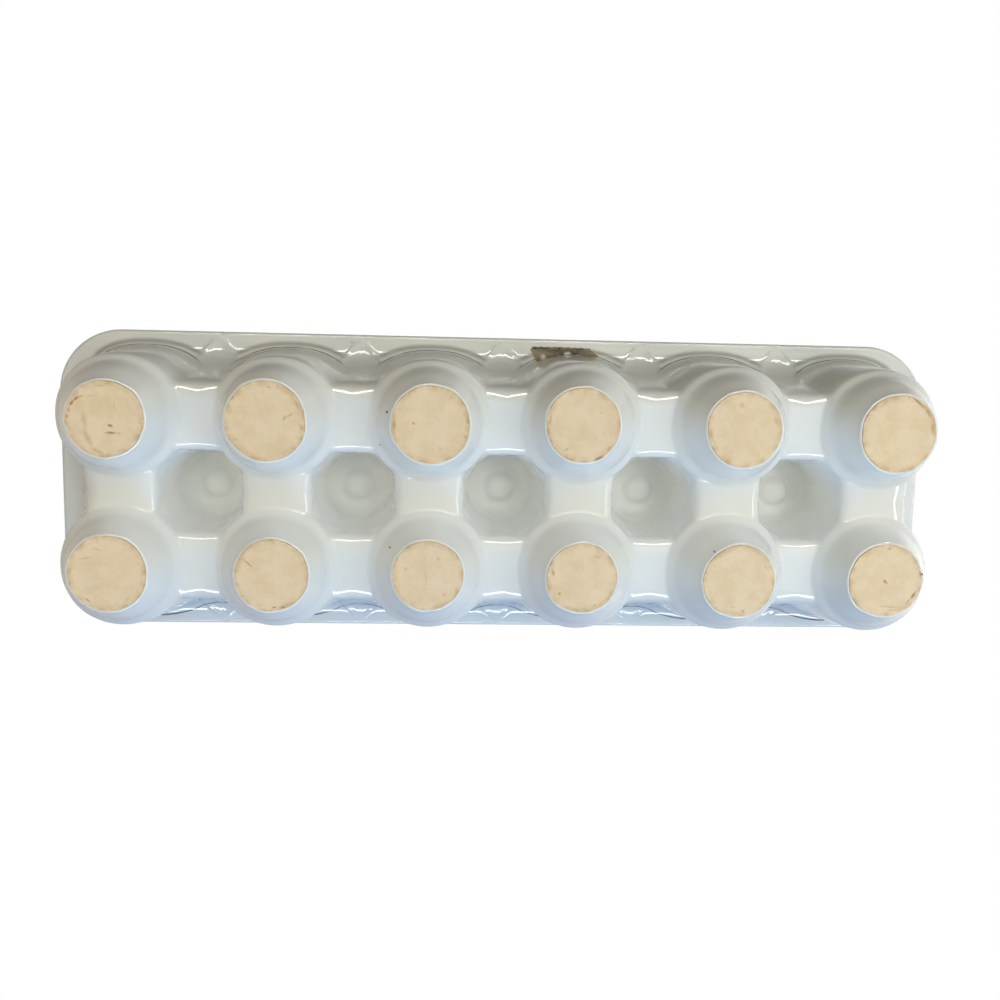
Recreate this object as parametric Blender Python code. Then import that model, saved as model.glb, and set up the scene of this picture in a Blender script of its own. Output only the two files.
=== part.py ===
"""Glazed ceramic tray for a dozen eggs, standing upright with its feet on the ground plane.

The tray is one slip-cast shell of even thickness: a flat rim, two rows of cups, a low saddle between
each pair of neighbouring cups and a hollow post wherever four cups meet. The bare clay feet, where
the glaze was wiped off before firing, are pieces of their own, each seated in the bottom of a cup.
"""

import math
from collections import namedtuple

import bmesh
import bpy

MM = 0.001

# Layout of the cups and the outline of the rim
COLUMNS = 6
ROWS = 2
PITCH_X = 56.0 * MM
PITCH_Y = 55.0 * MM
END_MARGIN = 35.0 * MM
SIDE_MARGIN = 31.75 * MM
CORNER_RADIUS = 25.0 * MM
HEIGHT = 59.0 * MM

# Thickness of the casting and the rounding of its rim and mouths
WALL = 3.5 * MM
RIM_ROUND = 1.4 * MM
LIP_ROUND = 2.6 * MM

# Bare clay feet, with the glaze edge round each of them
FOOT_RADIUS = 13.0 * MM
FOOT_THICKNESS = 1.2 * MM
FOOT_CHAMFER = 0.3 * MM
FOOT_CLEARANCE = 0.3 * MM
GLAZE_EDGE = 1.2 * MM
GLAZE_LIFT = 0.5 * MM

# Outside of a cup, from the foot up to the rim
SHOULDER_RADIUS = 22.3 * MM
LEDGE_WIDTH = 2.6 * MM
LEDGE_RISE = 2.8 * MM
CUP_BULGE = 0.8 * MM
MOUTH_RADIUS = 25.6 * MM
MOUTH_SQUARENESS = 2.5
SHOULDER_SQUARENESS = 2.1
ROUND = 2.0

# Saddles between neighbouring cups, and the lands of the rim that lean down to them
SADDLE_HEIGHT = 16.0 * MM
SADDLE_ROUND = 4.0 * MM
SIDE_LAND_DEPTH = 11.0 * MM
SIDE_LAND_LEAN = 8.75 * MM
END_LAND_DEPTH = 15.0 * MM
END_LAND_LEAN = 7.0 * MM

# Hollow posts where four cups meet, each with a shallow dimple in its top
HOLLOW_HALF = 15.6 * MM
HOLLOW_LEAN = 3.4 * MM
POST_DROP = 5.8 * MM
DIMPLE_RADIUS = 5.6 * MM
DIMPLE_DEPTH = 2.6 * MM

# Facets of the round forms
CUP_SEGMENTS = 24
FOOT_SEGMENTS = 32
DIMPLE_SEGMENTS = 16
CORNER_POINTS = 8
CORNER_SIDES = ((1, 1), (-1, 1), (-1, -1), (1, -1))
RIM_SEGMENTS = 2
SADDLE_SEGMENTS = 3
SHARP_ANGLE = math.radians(35)
FLAT_ANGLE = math.radians(1)
WELD_DISTANCE = 0.03 * MM

# Sizes that follow from the ones above
LENGTH = (COLUMNS - 1) * PITCH_X + 2 * END_MARGIN
WIDTH = (ROWS - 1) * PITCH_Y + 2 * SIDE_MARGIN
SEAT_RADIUS = FOOT_RADIUS + FOOT_CLEARANCE
SEAT_HEIGHT = FOOT_THICKNESS + FOOT_CLEARANCE
GLAZE_RADIUS = SEAT_RADIUS + GLAZE_EDGE
FLANGE_UNDERSIDE = HEIGHT - WALL
POST_TOP = HEIGHT - POST_DROP
POST_CEILING = POST_TOP - WALL
EDGE_ROUND = min(RIM_ROUND, WALL / 2 - WELD_DISTANCE)

# How far each form reaches into the wall that it joins, in unlike shares of it, so that no two faces
# lie in one plane, and how far a cut reaches past the face that it opens
CUP_BURY = WALL / 2
SADDLE_BURY = WALL / 3
CAP_BURY = WALL / 4
DOME_BURY = WALL / 5
CUT_CLEAR = 2 * WALL

GLAZE_COLOUR = (0.80, 0.80, 0.78, 1.0)
GLAZE_ROUGHNESS = 0.12
CLAY_COLOUR = (0.62, 0.48, 0.31, 1.0)
CLAY_ROUGHNESS = 0.85

# A saddle's centre and turn, half the pitch of its two cups, and its two ends across the row:
# each end as a distance at the saddle's level and another under the rim
Saddle = namedtuple("Saddle", "x y turn half_pitch low_end high_end")
End = namedtuple("End", "at_saddle at_rim")


def clear_scene():
    """Remove every object of the scene that the script starts from."""
    for old in list(bpy.data.objects):
        bpy.data.objects.remove(old, do_unlink=True)


def new_collection(name):
    """Make a collection and link it to the scene."""
    collection = bpy.data.collections.new(name)
    bpy.context.scene.collection.children.link(collection)
    return collection


def principled(name, colour, roughness):
    """Make a non-metallic material with a colour and a roughness."""
    material = bpy.data.materials.new(name)
    material.use_nodes = True
    shader = material.node_tree.nodes["Principled BSDF"]
    shader.inputs["Base Color"].default_value = colour
    shader.inputs["Roughness"].default_value = roughness
    shader.inputs["Metallic"].default_value = 0.0
    return material


def mesh_from(bm, name):
    """Turn a bmesh into a smooth-shaded mesh with outward faces."""
    bmesh.ops.recalc_face_normals(bm, faces=bm.faces)
    mesh = bpy.data.meshes.new(name)
    bm.to_mesh(mesh)
    bm.free()
    mesh.shade_smooth()
    mesh.set_sharp_from_angle(angle=SHARP_ANGLE)
    return mesh


def place(name, mesh, collection, x=0.0, y=0.0, turn=0.0):
    """Put a mesh into a collection as a named object, turned about the vertical."""
    piece = bpy.data.objects.new(name, mesh)
    piece.location = (x, y, 0.0)
    piece.rotation_euler = (0.0, 0.0, turn)
    collection.objects.link(piece)
    return piece


def form(name, mesh, collection, x=0.0, y=0.0, turn=0.0):
    """Place a form that only adds to or cuts from the tray, and isn't a piece by itself."""
    helper = place(name, mesh, collection, x, y, turn)
    helper.hide_render = True
    helper.display_type = "WIRE"


def section_point(angle, radius, squareness):
    """Point of a rounded square outline: squareness 2 is a circle, more is squarer."""
    across = math.cos(angle)
    along = math.sin(angle)
    reach = (abs(across) ** squareness + abs(along) ** squareness) ** (-1.0 / squareness)
    return radius * reach * across, radius * reach * along


def loft(name, sections):
    """Closed loft through level sections, each a height, a radius and a squareness."""
    bm = bmesh.new()
    angles = [math.tau * step / CUP_SEGMENTS for step in range(CUP_SEGMENTS)]
    rings = []
    for height, radius, squareness in sections:
        points = [section_point(angle, radius, squareness) for angle in angles]
        rings.append([bm.verts.new((x, y, height)) for x, y in points])
    for lower, upper in zip(rings, rings[1:]):
        for step in range(CUP_SEGMENTS):
            after = (step + 1) % CUP_SEGMENTS
            bm.faces.new((lower[step], lower[after], upper[after], upper[step]))
    bm.faces.new(rings[0])
    bm.faces.new(rings[-1])
    return mesh_from(bm, name)


def tapered_block(name, low, high, reach, foot, head, rounding=0.0):
    """Cube primitive from low to high, whose ends lean from the foot span to the head span in Y.

    The two lower edges at its ends are rounded if a radius is given.
    """
    bm = bmesh.new()
    bmesh.ops.create_cube(bm)
    for vertex in bm.verts:
        span = head if vertex.co.z > 0 else foot
        vertex.co.x = reach if vertex.co.x > 0 else -reach
        vertex.co.y = span[1] if vertex.co.y > 0 else span[0]
        vertex.co.z = high if vertex.co.z > 0 else low
    if rounding:
        middle = (low + high) / 2
        lower = [edge for edge in bm.edges if max(v.co.z for v in edge.verts) < middle]
        ends = [edge for edge in lower if edge.verts[0].co.x * edge.verts[1].co.x < 0]
        bmesh.ops.bevel(
            bm, geom=ends, offset=rounding, segments=SADDLE_SEGMENTS, profile=0.5, affect="EDGES"
        )
    return mesh_from(bm, name)


def cone(name, low, high, low_radius, high_radius, segments):
    """Capped cone or cylinder primitive about the vertical."""
    bm = bmesh.new()
    bmesh.ops.create_cone(
        bm, cap_ends=True, segments=segments, radius1=low_radius, radius2=high_radius, depth=high - low
    )
    bmesh.ops.translate(bm, verts=bm.verts, vec=(0.0, 0.0, (low + high) / 2))
    return mesh_from(bm, name)


def dome(name, level, depth):
    """Rounded form of the dimple's radius, with its widest ring at a level and its lowest point below."""
    bm = bmesh.new()
    bmesh.ops.create_uvsphere(
        bm, u_segments=DIMPLE_SEGMENTS, v_segments=DIMPLE_SEGMENTS // 2, radius=DIMPLE_RADIUS
    )
    bmesh.ops.scale(bm, verts=bm.verts, vec=(1.0, 1.0, depth / DIMPLE_RADIUS))
    bmesh.ops.translate(bm, verts=bm.verts, vec=(0.0, 0.0, level))
    return mesh_from(bm, name)


def column_x(column):
    """Place along X of a column of cups; halves lie between columns."""
    return (column - (COLUMNS - 1) / 2) * PITCH_X


def row_y(row):
    """Place along Y of a row of cups; halves lie between rows."""
    return (row - (ROWS - 1) / 2) * PITCH_Y


def cup_centres():
    """Row, column and centre of each cup."""
    for row in range(ROWS):
        for column in range(COLUMNS):
            yield row, column, column_x(column), row_y(row)


def post_centres():
    """Centre of each post, midway between four cups."""
    for row in range(ROWS - 1):
        for column in range(COLUMNS - 1):
            yield column_x(column + 0.5), row_y(row + 0.5)


def rim_end(margin, depth, lean):
    """End of a saddle that faces the rim, whose land reaches in by a depth and leans down to it."""
    tip = margin - depth
    return End(tip - lean, tip)


def post_end(half_pitch):
    """End of a saddle that faces a post, whose hollow narrows upwards."""
    return End(half_pitch - HOLLOW_HALF, half_pitch - HOLLOW_HALF + HOLLOW_LEAN)


def saddles():
    """Every saddle between two neighbouring cups, along the rows and then across them."""
    post_y = post_end(PITCH_Y / 2)
    side = rim_end(SIDE_MARGIN, SIDE_LAND_DEPTH, SIDE_LAND_LEAN)
    for row in range(ROWS):
        low = side if row == 0 else post_y
        high = side if row == ROWS - 1 else post_y
        for column in range(COLUMNS - 1):
            yield Saddle(column_x(column + 0.5), row_y(row), 0.0, PITCH_X / 2, low, high)
    post_x = post_end(PITCH_X / 2)
    short_side = rim_end(END_MARGIN, END_LAND_DEPTH, END_LAND_LEAN)
    for column in range(COLUMNS):
        low = short_side if column == 0 else post_x
        high = short_side if column == COLUMNS - 1 else post_x
        for row in range(ROWS - 1):
            yield Saddle(column_x(column), row_y(row + 0.5), -math.pi / 2, PITCH_Y / 2, low, high)


def span_at(saddle, level, inset):
    """Where a saddle's two leaning ends are at a level, moved in from its outside."""
    share = (level - SADDLE_HEIGHT) / (FLANGE_UNDERSIDE - SADDLE_HEIGHT)
    low, high = [end.at_saddle + (end.at_rim - end.at_saddle) * share for end in saddle[-2:]]
    return inset - low, high - inset


def block_reach(half_pitch, cup_radius, span):
    """Half length of a block between two cups whose corners end inside both of them."""
    corner = max(abs(end) for end in span)
    return half_pitch - math.sqrt(cup_radius**2 - corner**2) + CUP_BURY


def saddle_form(saddle):
    """Solid between two cups, from the underside of the saddle up into the rim."""
    top = HEIGHT - SADDLE_BURY
    foot = span_at(saddle, SADDLE_HEIGHT, 0.0)
    head = span_at(saddle, top, 0.0)
    reach = block_reach(saddle.half_pitch, SHOULDER_RADIUS, foot)
    return tapered_block("saddle", SADDLE_HEIGHT, top, reach, foot, head, SADDLE_ROUND)


def notch_form(saddle):
    """Gap over a saddle that joins two cups, one wall in from the saddle's outside."""
    floor = SADDLE_HEIGHT + WALL
    top = HEIGHT + WALL
    foot = span_at(saddle, floor, WALL)
    head = span_at(saddle, top, WALL)
    reach = block_reach(saddle.half_pitch, SHOULDER_RADIUS - WALL, foot)
    return tapered_block("notch", floor, top, reach, foot, head)


def cup_sections():
    """Outside of a cup: glaze edge, bulging bowl, shoulder ledge and the wall up into the rim."""
    ledge_height = SADDLE_HEIGHT - LEDGE_RISE
    ledge_radius = SHOULDER_RADIUS - LEDGE_WIDTH
    bulge_height = (GLAZE_LIFT + ledge_height) / 2
    bulge_radius = (GLAZE_RADIUS + ledge_radius) / 2 + CUP_BULGE
    return [
        (GLAZE_LIFT, GLAZE_RADIUS, ROUND),
        (bulge_height, bulge_radius, ROUND),
        (ledge_height, ledge_radius, ROUND),
        (SADDLE_HEIGHT, SHOULDER_RADIUS, SHOULDER_SQUARENESS),
        (FLANGE_UNDERSIDE, MOUTH_RADIUS, MOUTH_SQUARENESS),
        (HEIGHT - CUP_BURY, MOUTH_RADIUS, MOUTH_SQUARENESS),
    ]


def bowl_sections():
    """Inside of a cup, one wall in from its outside, with a rounded mouth."""
    mouth = MOUTH_RADIUS - WALL
    lip_step = LIP_ROUND * (1 - math.sqrt(0.5))
    return [
        (SEAT_HEIGHT + WALL, GLAZE_RADIUS - WALL, ROUND),
        (SADDLE_HEIGHT - LEDGE_RISE + WALL / 2, SHOULDER_RADIUS - LEDGE_WIDTH - WALL, ROUND),
        (SADDLE_HEIGHT + WALL, SHOULDER_RADIUS - WALL, SHOULDER_SQUARENESS),
        (HEIGHT - LIP_ROUND, mouth, MOUTH_SQUARENESS),
        (HEIGHT - lip_step, mouth + lip_step, MOUTH_SQUARENESS),
        (HEIGHT, mouth + LIP_ROUND, MOUTH_SQUARENESS),
        (HEIGHT + CUT_CLEAR, mouth + LIP_ROUND, MOUTH_SQUARENESS),
    ]


def rim_outline():
    """Points of the rim's outline, counter-clockwise, with an arc at each corner."""
    for quarter, (side_x, side_y) in enumerate(CORNER_SIDES):
        for step in range(CORNER_POINTS + 1):
            angle = math.pi / 2 * (quarter + step / CORNER_POINTS)
            x = side_x * (LENGTH / 2 - CORNER_RADIUS) + CORNER_RADIUS * math.cos(angle)
            y = side_y * (WIDTH / 2 - CORNER_RADIUS) + CORNER_RADIUS * math.sin(angle)
            yield x, y, 0.0, 1.0


def rim_plate():
    """Flat rim with rounded corners: a filled outline as thick as the wall, with rounded edges."""
    curve = bpy.data.curves.new("rim_outline", "CURVE")
    curve.dimensions = "2D"
    curve.fill_mode = "BOTH"
    curve.extrude = WALL / 2
    points = list(rim_outline())
    spline = curve.splines.new("POLY")
    spline.points.add(len(points[1:]))
    for point, position in zip(spline.points, points):
        point.co = position
    spline.use_cyclic_u = True
    outline = bpy.data.objects.new("rim_outline", curve)
    bpy.context.scene.collection.objects.link(outline)
    evaluated = outline.evaluated_get(bpy.context.evaluated_depsgraph_get())
    flat = bpy.data.meshes.new_from_object(evaluated)
    bpy.data.objects.remove(outline, do_unlink=True)

    bm = bmesh.new()
    bm.from_mesh(flat)
    bpy.data.meshes.remove(flat)
    bmesh.ops.remove_doubles(bm, verts=bm.verts, dist=WELD_DISTANCE)
    bmesh.ops.dissolve_limit(bm, angle_limit=FLAT_ANGLE, verts=bm.verts, edges=bm.edges)
    bmesh.ops.translate(bm, verts=bm.verts, vec=(0.0, 0.0, HEIGHT - WALL / 2))
    level = [edge for edge in bm.edges if abs(edge.verts[0].co.z - edge.verts[1].co.z) < WALL / 2]
    bmesh.ops.bevel(bm, geom=level, offset=EDGE_ROUND, segments=RIM_SEGMENTS, profile=0.5, affect="EDGES")
    return mesh_from(bm, "rim_plate")


def boolean(piece, operation, operands):
    """Add to or cut from a piece with every form of a collection."""
    modifier = piece.modifiers.new(operands.name, "BOOLEAN")
    modifier.operation = operation
    modifier.operand_type = "COLLECTION"
    modifier.collection = operands
    modifier.solver = "EXACT"


def add_cups(added, cut):
    """Outside and inside of each cup, and the seat of its foot."""
    outside = loft("cup_outside", cup_sections())
    inside = loft("cup_inside", bowl_sections())
    seat = cone("foot_seat", -WALL, SEAT_HEIGHT, SEAT_RADIUS, SEAT_RADIUS, FOOT_SEGMENTS)
    for row, column, x, y in cup_centres():
        form("cup_outside", outside, added, x, y)
        form("cup_inside", inside, cut, x, y)
        form("foot_seat", seat, cut, x, y)


def add_saddles(added, cut):
    """Each saddle and the notch over it."""
    for saddle in saddles():
        form("saddle", saddle_form(saddle), added, saddle.x, saddle.y, saddle.turn)
        form("notch", notch_form(saddle), cut, saddle.x, saddle.y, saddle.turn)


def add_posts(added, cut):
    """Top of each post, lower than the rim, with its dimple and the bump under that."""
    share = (POST_CEILING - SADDLE_HEIGHT) / (FLANGE_UNDERSIDE - SADDLE_HEIGHT)
    ceiling_half = HOLLOW_HALF - HOLLOW_LEAN * share
    cap_half = ceiling_half + CUP_BURY
    dip_half = ceiling_half + CUT_CLEAR
    cap_span = (-cap_half, cap_half)
    dip_span = (-dip_half, dip_half)
    cap = tapered_block("post_cap", POST_CEILING, HEIGHT - CAP_BURY, cap_half, cap_span, cap_span)
    dip = tapered_block("post_dip", POST_TOP, HEIGHT + CUT_CLEAR + WALL, dip_half, dip_span, dip_span)
    bump = dome("post_bump", POST_CEILING + DOME_BURY, DIMPLE_DEPTH + DOME_BURY)
    dimple = dome("post_dimple", POST_TOP + DOME_BURY, DIMPLE_DEPTH + DOME_BURY)
    for x, y in post_centres():
        form("post_cap", cap, added, x, y)
        form("post_bump", bump, added, x, y)
        form("post_dip", dip, cut, x, y)
        form("post_dimple", dimple, cut, x, y)


def tray_body(parts, added, cut, glaze):
    """The glazed casting: rim, cups, saddles and posts joined, then hollowed one wall thick."""
    add_cups(added, cut)
    add_saddles(added, cut)
    add_posts(added, cut)
    body = place("tray_body", rim_plate(), parts)
    body.data.materials.append(glaze)
    boolean(body, "UNION", added)
    boolean(body, "DIFFERENCE", cut)
    return body


def clay_foot(clay):
    """Disc of bare clay with a chamfered lower edge."""
    disc = cone("clay_disc", 0.0, FOOT_THICKNESS, FOOT_RADIUS, FOOT_RADIUS, FOOT_SEGMENTS)
    bm = bmesh.new()
    bm.from_mesh(disc)
    bpy.data.meshes.remove(disc)
    lower = [edge for edge in bm.edges if max(v.co.z for v in edge.verts) < FOOT_THICKNESS / 2]
    bmesh.ops.bevel(bm, geom=lower, offset=FOOT_CHAMFER, segments=1, profile=0.5, affect="EDGES")
    mesh = mesh_from(bm, "clay_foot")
    mesh.materials.append(clay)
    return mesh


def feet(parts, clay):
    """One bare clay foot under each cup, named by its row's letter and its column's number."""
    mesh = clay_foot(clay)
    for row, column, x, y in cup_centres():
        letter = chr(ord("a") + row)
        yield place(f"foot_{letter}{column + 1}", mesh, parts, x, y)


def main():
    """Build the tray and its feet under one empty at the middle of the resting plane."""
    clear_scene()
    parts = new_collection("ceramic_egg_tray")
    added = new_collection("forms_added")
    cut = new_collection("forms_cut")
    glaze = principled("white_glaze", GLAZE_COLOUR, GLAZE_ROUGHNESS)
    clay = principled("bare_clay", CLAY_COLOUR, CLAY_ROUGHNESS)
    centre = bpy.data.objects.new("tray_centre", None)
    parts.objects.link(centre)
    for piece in (tray_body(parts, added, cut, glaze), *feet(parts, clay)):
        piece.parent = centre


main()
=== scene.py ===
"""Looks of a white glazed ceramic egg tray that stands on bare clay feet.

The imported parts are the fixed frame. The casting's two skins are drawn again in full detail, with the
rounded corners that glaze leaves, the feet get their mottled clay, and a small studio is set round them.
Sizes in the classes are millimetres; meshes are written in metres.
"""

import logging
import math
from dataclasses import dataclass, field
from enum import Enum
from typing import ClassVar, Iterator

import bpy
import numpy as np
from mathutils import Matrix, Vector


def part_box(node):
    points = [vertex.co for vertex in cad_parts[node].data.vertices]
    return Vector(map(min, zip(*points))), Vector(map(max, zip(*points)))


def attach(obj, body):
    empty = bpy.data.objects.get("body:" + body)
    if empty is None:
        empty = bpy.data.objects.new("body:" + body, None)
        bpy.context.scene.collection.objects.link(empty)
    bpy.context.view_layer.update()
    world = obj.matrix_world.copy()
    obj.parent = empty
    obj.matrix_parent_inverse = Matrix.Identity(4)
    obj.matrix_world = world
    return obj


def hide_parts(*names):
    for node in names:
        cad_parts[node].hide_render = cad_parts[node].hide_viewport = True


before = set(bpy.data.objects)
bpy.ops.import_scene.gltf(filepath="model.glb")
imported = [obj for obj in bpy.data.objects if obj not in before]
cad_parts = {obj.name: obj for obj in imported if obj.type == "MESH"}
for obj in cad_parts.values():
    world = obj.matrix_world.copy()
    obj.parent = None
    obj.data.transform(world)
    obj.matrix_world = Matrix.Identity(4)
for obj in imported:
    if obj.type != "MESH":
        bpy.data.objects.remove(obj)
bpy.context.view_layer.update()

MM = 0.001
BODY = "root"
LOG = logging.getLogger("egg_tray")

Piece = bpy.types.Object
Socket = bpy.types.NodeSocket
Colour = tuple[float, float, float]


class Skin(Enum):
    """The two skins of the casting."""

    UNDERSIDE = "underside"
    TOPSIDE = "topside"


class Border(Enum):
    """What lies across one side of a cup's cell."""

    SADDLE = "saddle"
    RIM = "rim"


def round_union(first: np.ndarray, second: np.ndarray, radius: float) -> np.ndarray:
    """Join two solids, with a rounded inner corner.

    Args:
        first: Signed distances to the first solid, negative inside.
        second: Signed distances to the second solid.
        radius: Radius of the fillet between them.

    Returns:
        Signed distances to the joined solid.
    """
    reach = np.hypot(np.maximum(radius - first, 0.0), np.maximum(radius - second, 0.0))
    return np.maximum(radius, np.minimum(first, second)) - reach


def round_overlap(first: np.ndarray, second: np.ndarray, radius: float) -> np.ndarray:
    """Keep what two solids share, with a rounded outer edge.

    Args:
        first: Signed distances to the first solid, negative inside.
        second: Signed distances to the second solid.
        radius: Radius of the edge between them.

    Returns:
        Signed distances to the shared solid.
    """
    reach = np.hypot(np.maximum(radius + first, 0.0), np.maximum(radius + second, 0.0))
    return np.minimum(-radius, np.maximum(first, second)) + reach


def smooth_step(values: np.ndarray, low: float, high: float) -> np.ndarray:
    """Rise smoothly from 0 at the low value to 1 at the high one."""
    share = np.clip((values - low) / (high - low), 0.0, 1.0)
    return share * share * (3.0 - 2.0 * share)


def deselect_all() -> None:
    """Leave edit mode and deselect every object."""
    if bpy.context.object and bpy.context.object.mode != "OBJECT":
        bpy.ops.object.mode_set(mode="OBJECT")
    bpy.ops.object.select_all(action="DESELECT")


def select_only(*pieces: Piece) -> None:
    """Select these objects alone, the first of them active.

    Args:
        pieces: Objects to select, the active one first.
    """
    deselect_all()
    for piece in pieces:
        piece.select_set(True)
    bpy.context.view_layer.objects.active = pieces[0]


def apply_modifiers(piece: Piece) -> None:
    """Apply a piece's modifiers in order.

    Args:
        piece: The piece.
    """
    select_only(piece)
    for modifier in list(piece.modifiers):
        bpy.ops.object.modifier_apply(modifier=modifier.name)


def paint(mesh: bpy.types.Mesh, name: str, values: np.ndarray) -> None:
    """Store a value at each point of a mesh, for its material to read."""
    layer = mesh.attributes.new(name, "FLOAT", "POINT")
    layer.data.foreach_set("value", values.astype(np.float32))


def read_paint(mesh: bpy.types.Mesh, name: str) -> np.ndarray:
    """Values stored at the points of a mesh.

    Args:
        mesh: Mesh that was painted.
        name: Name of the painted value.

    Returns:
        One value for each point.
    """
    values = np.empty(len(mesh.vertices), np.float32)
    mesh.attributes[name].data.foreach_get("value", values)
    return values


def read_points(mesh: bpy.types.Mesh) -> np.ndarray:
    """Points of a mesh, in millimetres.

    Args:
        mesh: The mesh.

    Returns:
        Array of points and coordinates.
    """
    points = np.empty(len(mesh.vertices) * 3)
    mesh.vertices.foreach_get("co", points)
    return points.reshape(-1, 3) / MM


def write_points(mesh: bpy.types.Mesh, points: np.ndarray) -> None:
    """Move the points of a mesh to places in millimetres."""
    mesh.vertices.foreach_set("co", (points * MM).ravel())
    mesh.update()


def name_piece(piece: Piece, name: str) -> None:
    """Name an object and its mesh alike."""
    piece.name = name
    piece.data.name = name


def ringed_disc(name: str, radius: float, sides: int, rings: int) -> Piece:
    """Model a flat disc divided into even rings.

    Args:
        name: Name of the object and its mesh.
        radius: Radius in metres.
        sides: Number of sides.
        rings: Number of rings round the middle.

    Returns:
        The disc, at the origin.
    """
    deselect_all()
    bpy.ops.mesh.primitive_circle_add(vertices=sides, radius=radius, fill_type="NGON")
    disc = bpy.context.object
    name_piece(disc, name)
    bpy.ops.object.mode_set(mode="EDIT")
    bpy.ops.mesh.select_mode(type="FACE")
    bpy.ops.mesh.select_all(action="SELECT")
    for _ in range(rings):
        bpy.ops.mesh.inset(thickness=radius / (rings + 1), depth=0.0)
    bpy.ops.mesh.poke()
    bpy.ops.object.mode_set(mode="OBJECT")
    return disc


def foot_names() -> list[str]:
    """Names of the clay feet, by row and column."""
    return sorted(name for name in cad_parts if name.startswith("foot_"))


def node_centre(name: str) -> Vector:
    """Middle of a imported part's box, in millimetres."""
    low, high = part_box(name)
    return (low + high) / 2 / MM


@dataclass(frozen=True)
class Layout:
    """Places of the cups and the rim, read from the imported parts."""

    pitch_x: float
    pitch_y: float
    half_length: float
    half_width: float
    height: float
    foot_radius: float
    foot_thickness: float

    @classmethod
    def from_frame(cls) -> "Layout":
        """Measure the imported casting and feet.

        Returns:
            The layout, in millimetres.
        """
        low, high = (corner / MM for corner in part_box("tray_body"))
        foot_low, foot_high = (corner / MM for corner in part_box("foot_a1"))
        first = node_centre("foot_a1")
        return cls(
            pitch_x=node_centre("foot_a2").x - first.x,
            pitch_y=node_centre("foot_b1").y - first.y,
            half_length=(high.x - low.x) / 2,
            half_width=(high.y - low.y) / 2,
            height=high.z,
            foot_radius=(foot_high.x - foot_low.x) / 2,
            foot_thickness=foot_high.z,
        )

    @property
    def columns(self) -> int:
        """Number of cups along a row."""
        return round(2 * (self.half_length - self.end_margin) / self.pitch_x) + 1

    @property
    def end_margin(self) -> float:
        """From the outermost cup's centre to the short side of the rim."""
        return self.half_length + node_centre("foot_a1").x

    @property
    def side_margin(self) -> float:
        """From a row's middle to the long side of the rim."""
        return self.half_width + node_centre("foot_a1").y


@dataclass(frozen=True)
class CastingSizes:
    """Sizes of the glazed casting, in millimetres."""

    wall: float = 3.5
    skin_inset: float = 0.15
    rim_round: float = 1.5
    corner_radius: float = 25.0
    seat_level: float = 1.3
    seat_radius: float = 13.02
    seat_edge: float = 0.25
    lip_level: float = 0.35
    lip_edge: float = 0.5
    cup_foot_radius: float = 13.80
    cup_foot_level: float = 0.8
    cup_bulge: float = 0.8
    ledge_radius: float = 19.7
    ledge_level: float = 13.2
    shoulder_radius: float = 22.3
    shoulder_level: float = 16.0
    shoulder_round: float = 0.9
    mouth_radius: float = 25.6
    mouth_squareness: float = 2.5
    shoulder_squareness: float = 2.1
    saddle_level: float = 16.0
    saddle_edge: float = 3.2
    saddle_start: float = 12.0
    side_land: float = 11.0
    side_lean: float = 8.75
    end_land: float = 15.0
    end_lean: float = 7.0
    land_fillet: float = 8.0
    hollow_half: float = 15.6
    hollow_lean: float = 3.4
    post_drop: float = 5.8
    dome_radius: float = 6.0
    dome_depth: float = 3.8
    dome_blend: float = 1.4
    pad_fillet: float = 0.7
    cup_fillet: float = 4.0
    fillet_rise: float = 8.0
    ceiling_fillet: float = 5.0
    flange_fillet: float = 2.6
    bowl_level: float = 5.0
    bowl_round: float = 8.0
    mouth_round: float = 4.0
    notch_edge: float = 2.5


@dataclass(frozen=True)
class GridSizes:
    """How finely the casting's skins are divided."""

    half_rim: dict[Skin, int] = field(default_factory=lambda: {Skin.UNDERSIDE: 18, Skin.TOPSIDE: 13})
    half_saddle: dict[Skin, int] = field(default_factory=lambda: {Skin.UNDERSIDE: 13, Skin.TOPSIDE: 8})
    outer_rings: dict[Skin, int] = field(default_factory=lambda: {Skin.UNDERSIDE: 28, Skin.TOPSIDE: 14})
    seat_rings: tuple[float, ...] = (-1.5, -0.04, 0.04, 0.3, 1.0)
    lip_start: float = 1.5
    lip_rings: int = 5
    cone_rings: int = 5
    ledge_rings: int = 8
    bowl_rings: int = 9
    samples: int = 400
    bisections: int = 24
    ease_steps: int = 9
    bend_weight: float = 1.6
    rim_weight: float = 4.0
    rim_reach: float = 2.0


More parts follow.
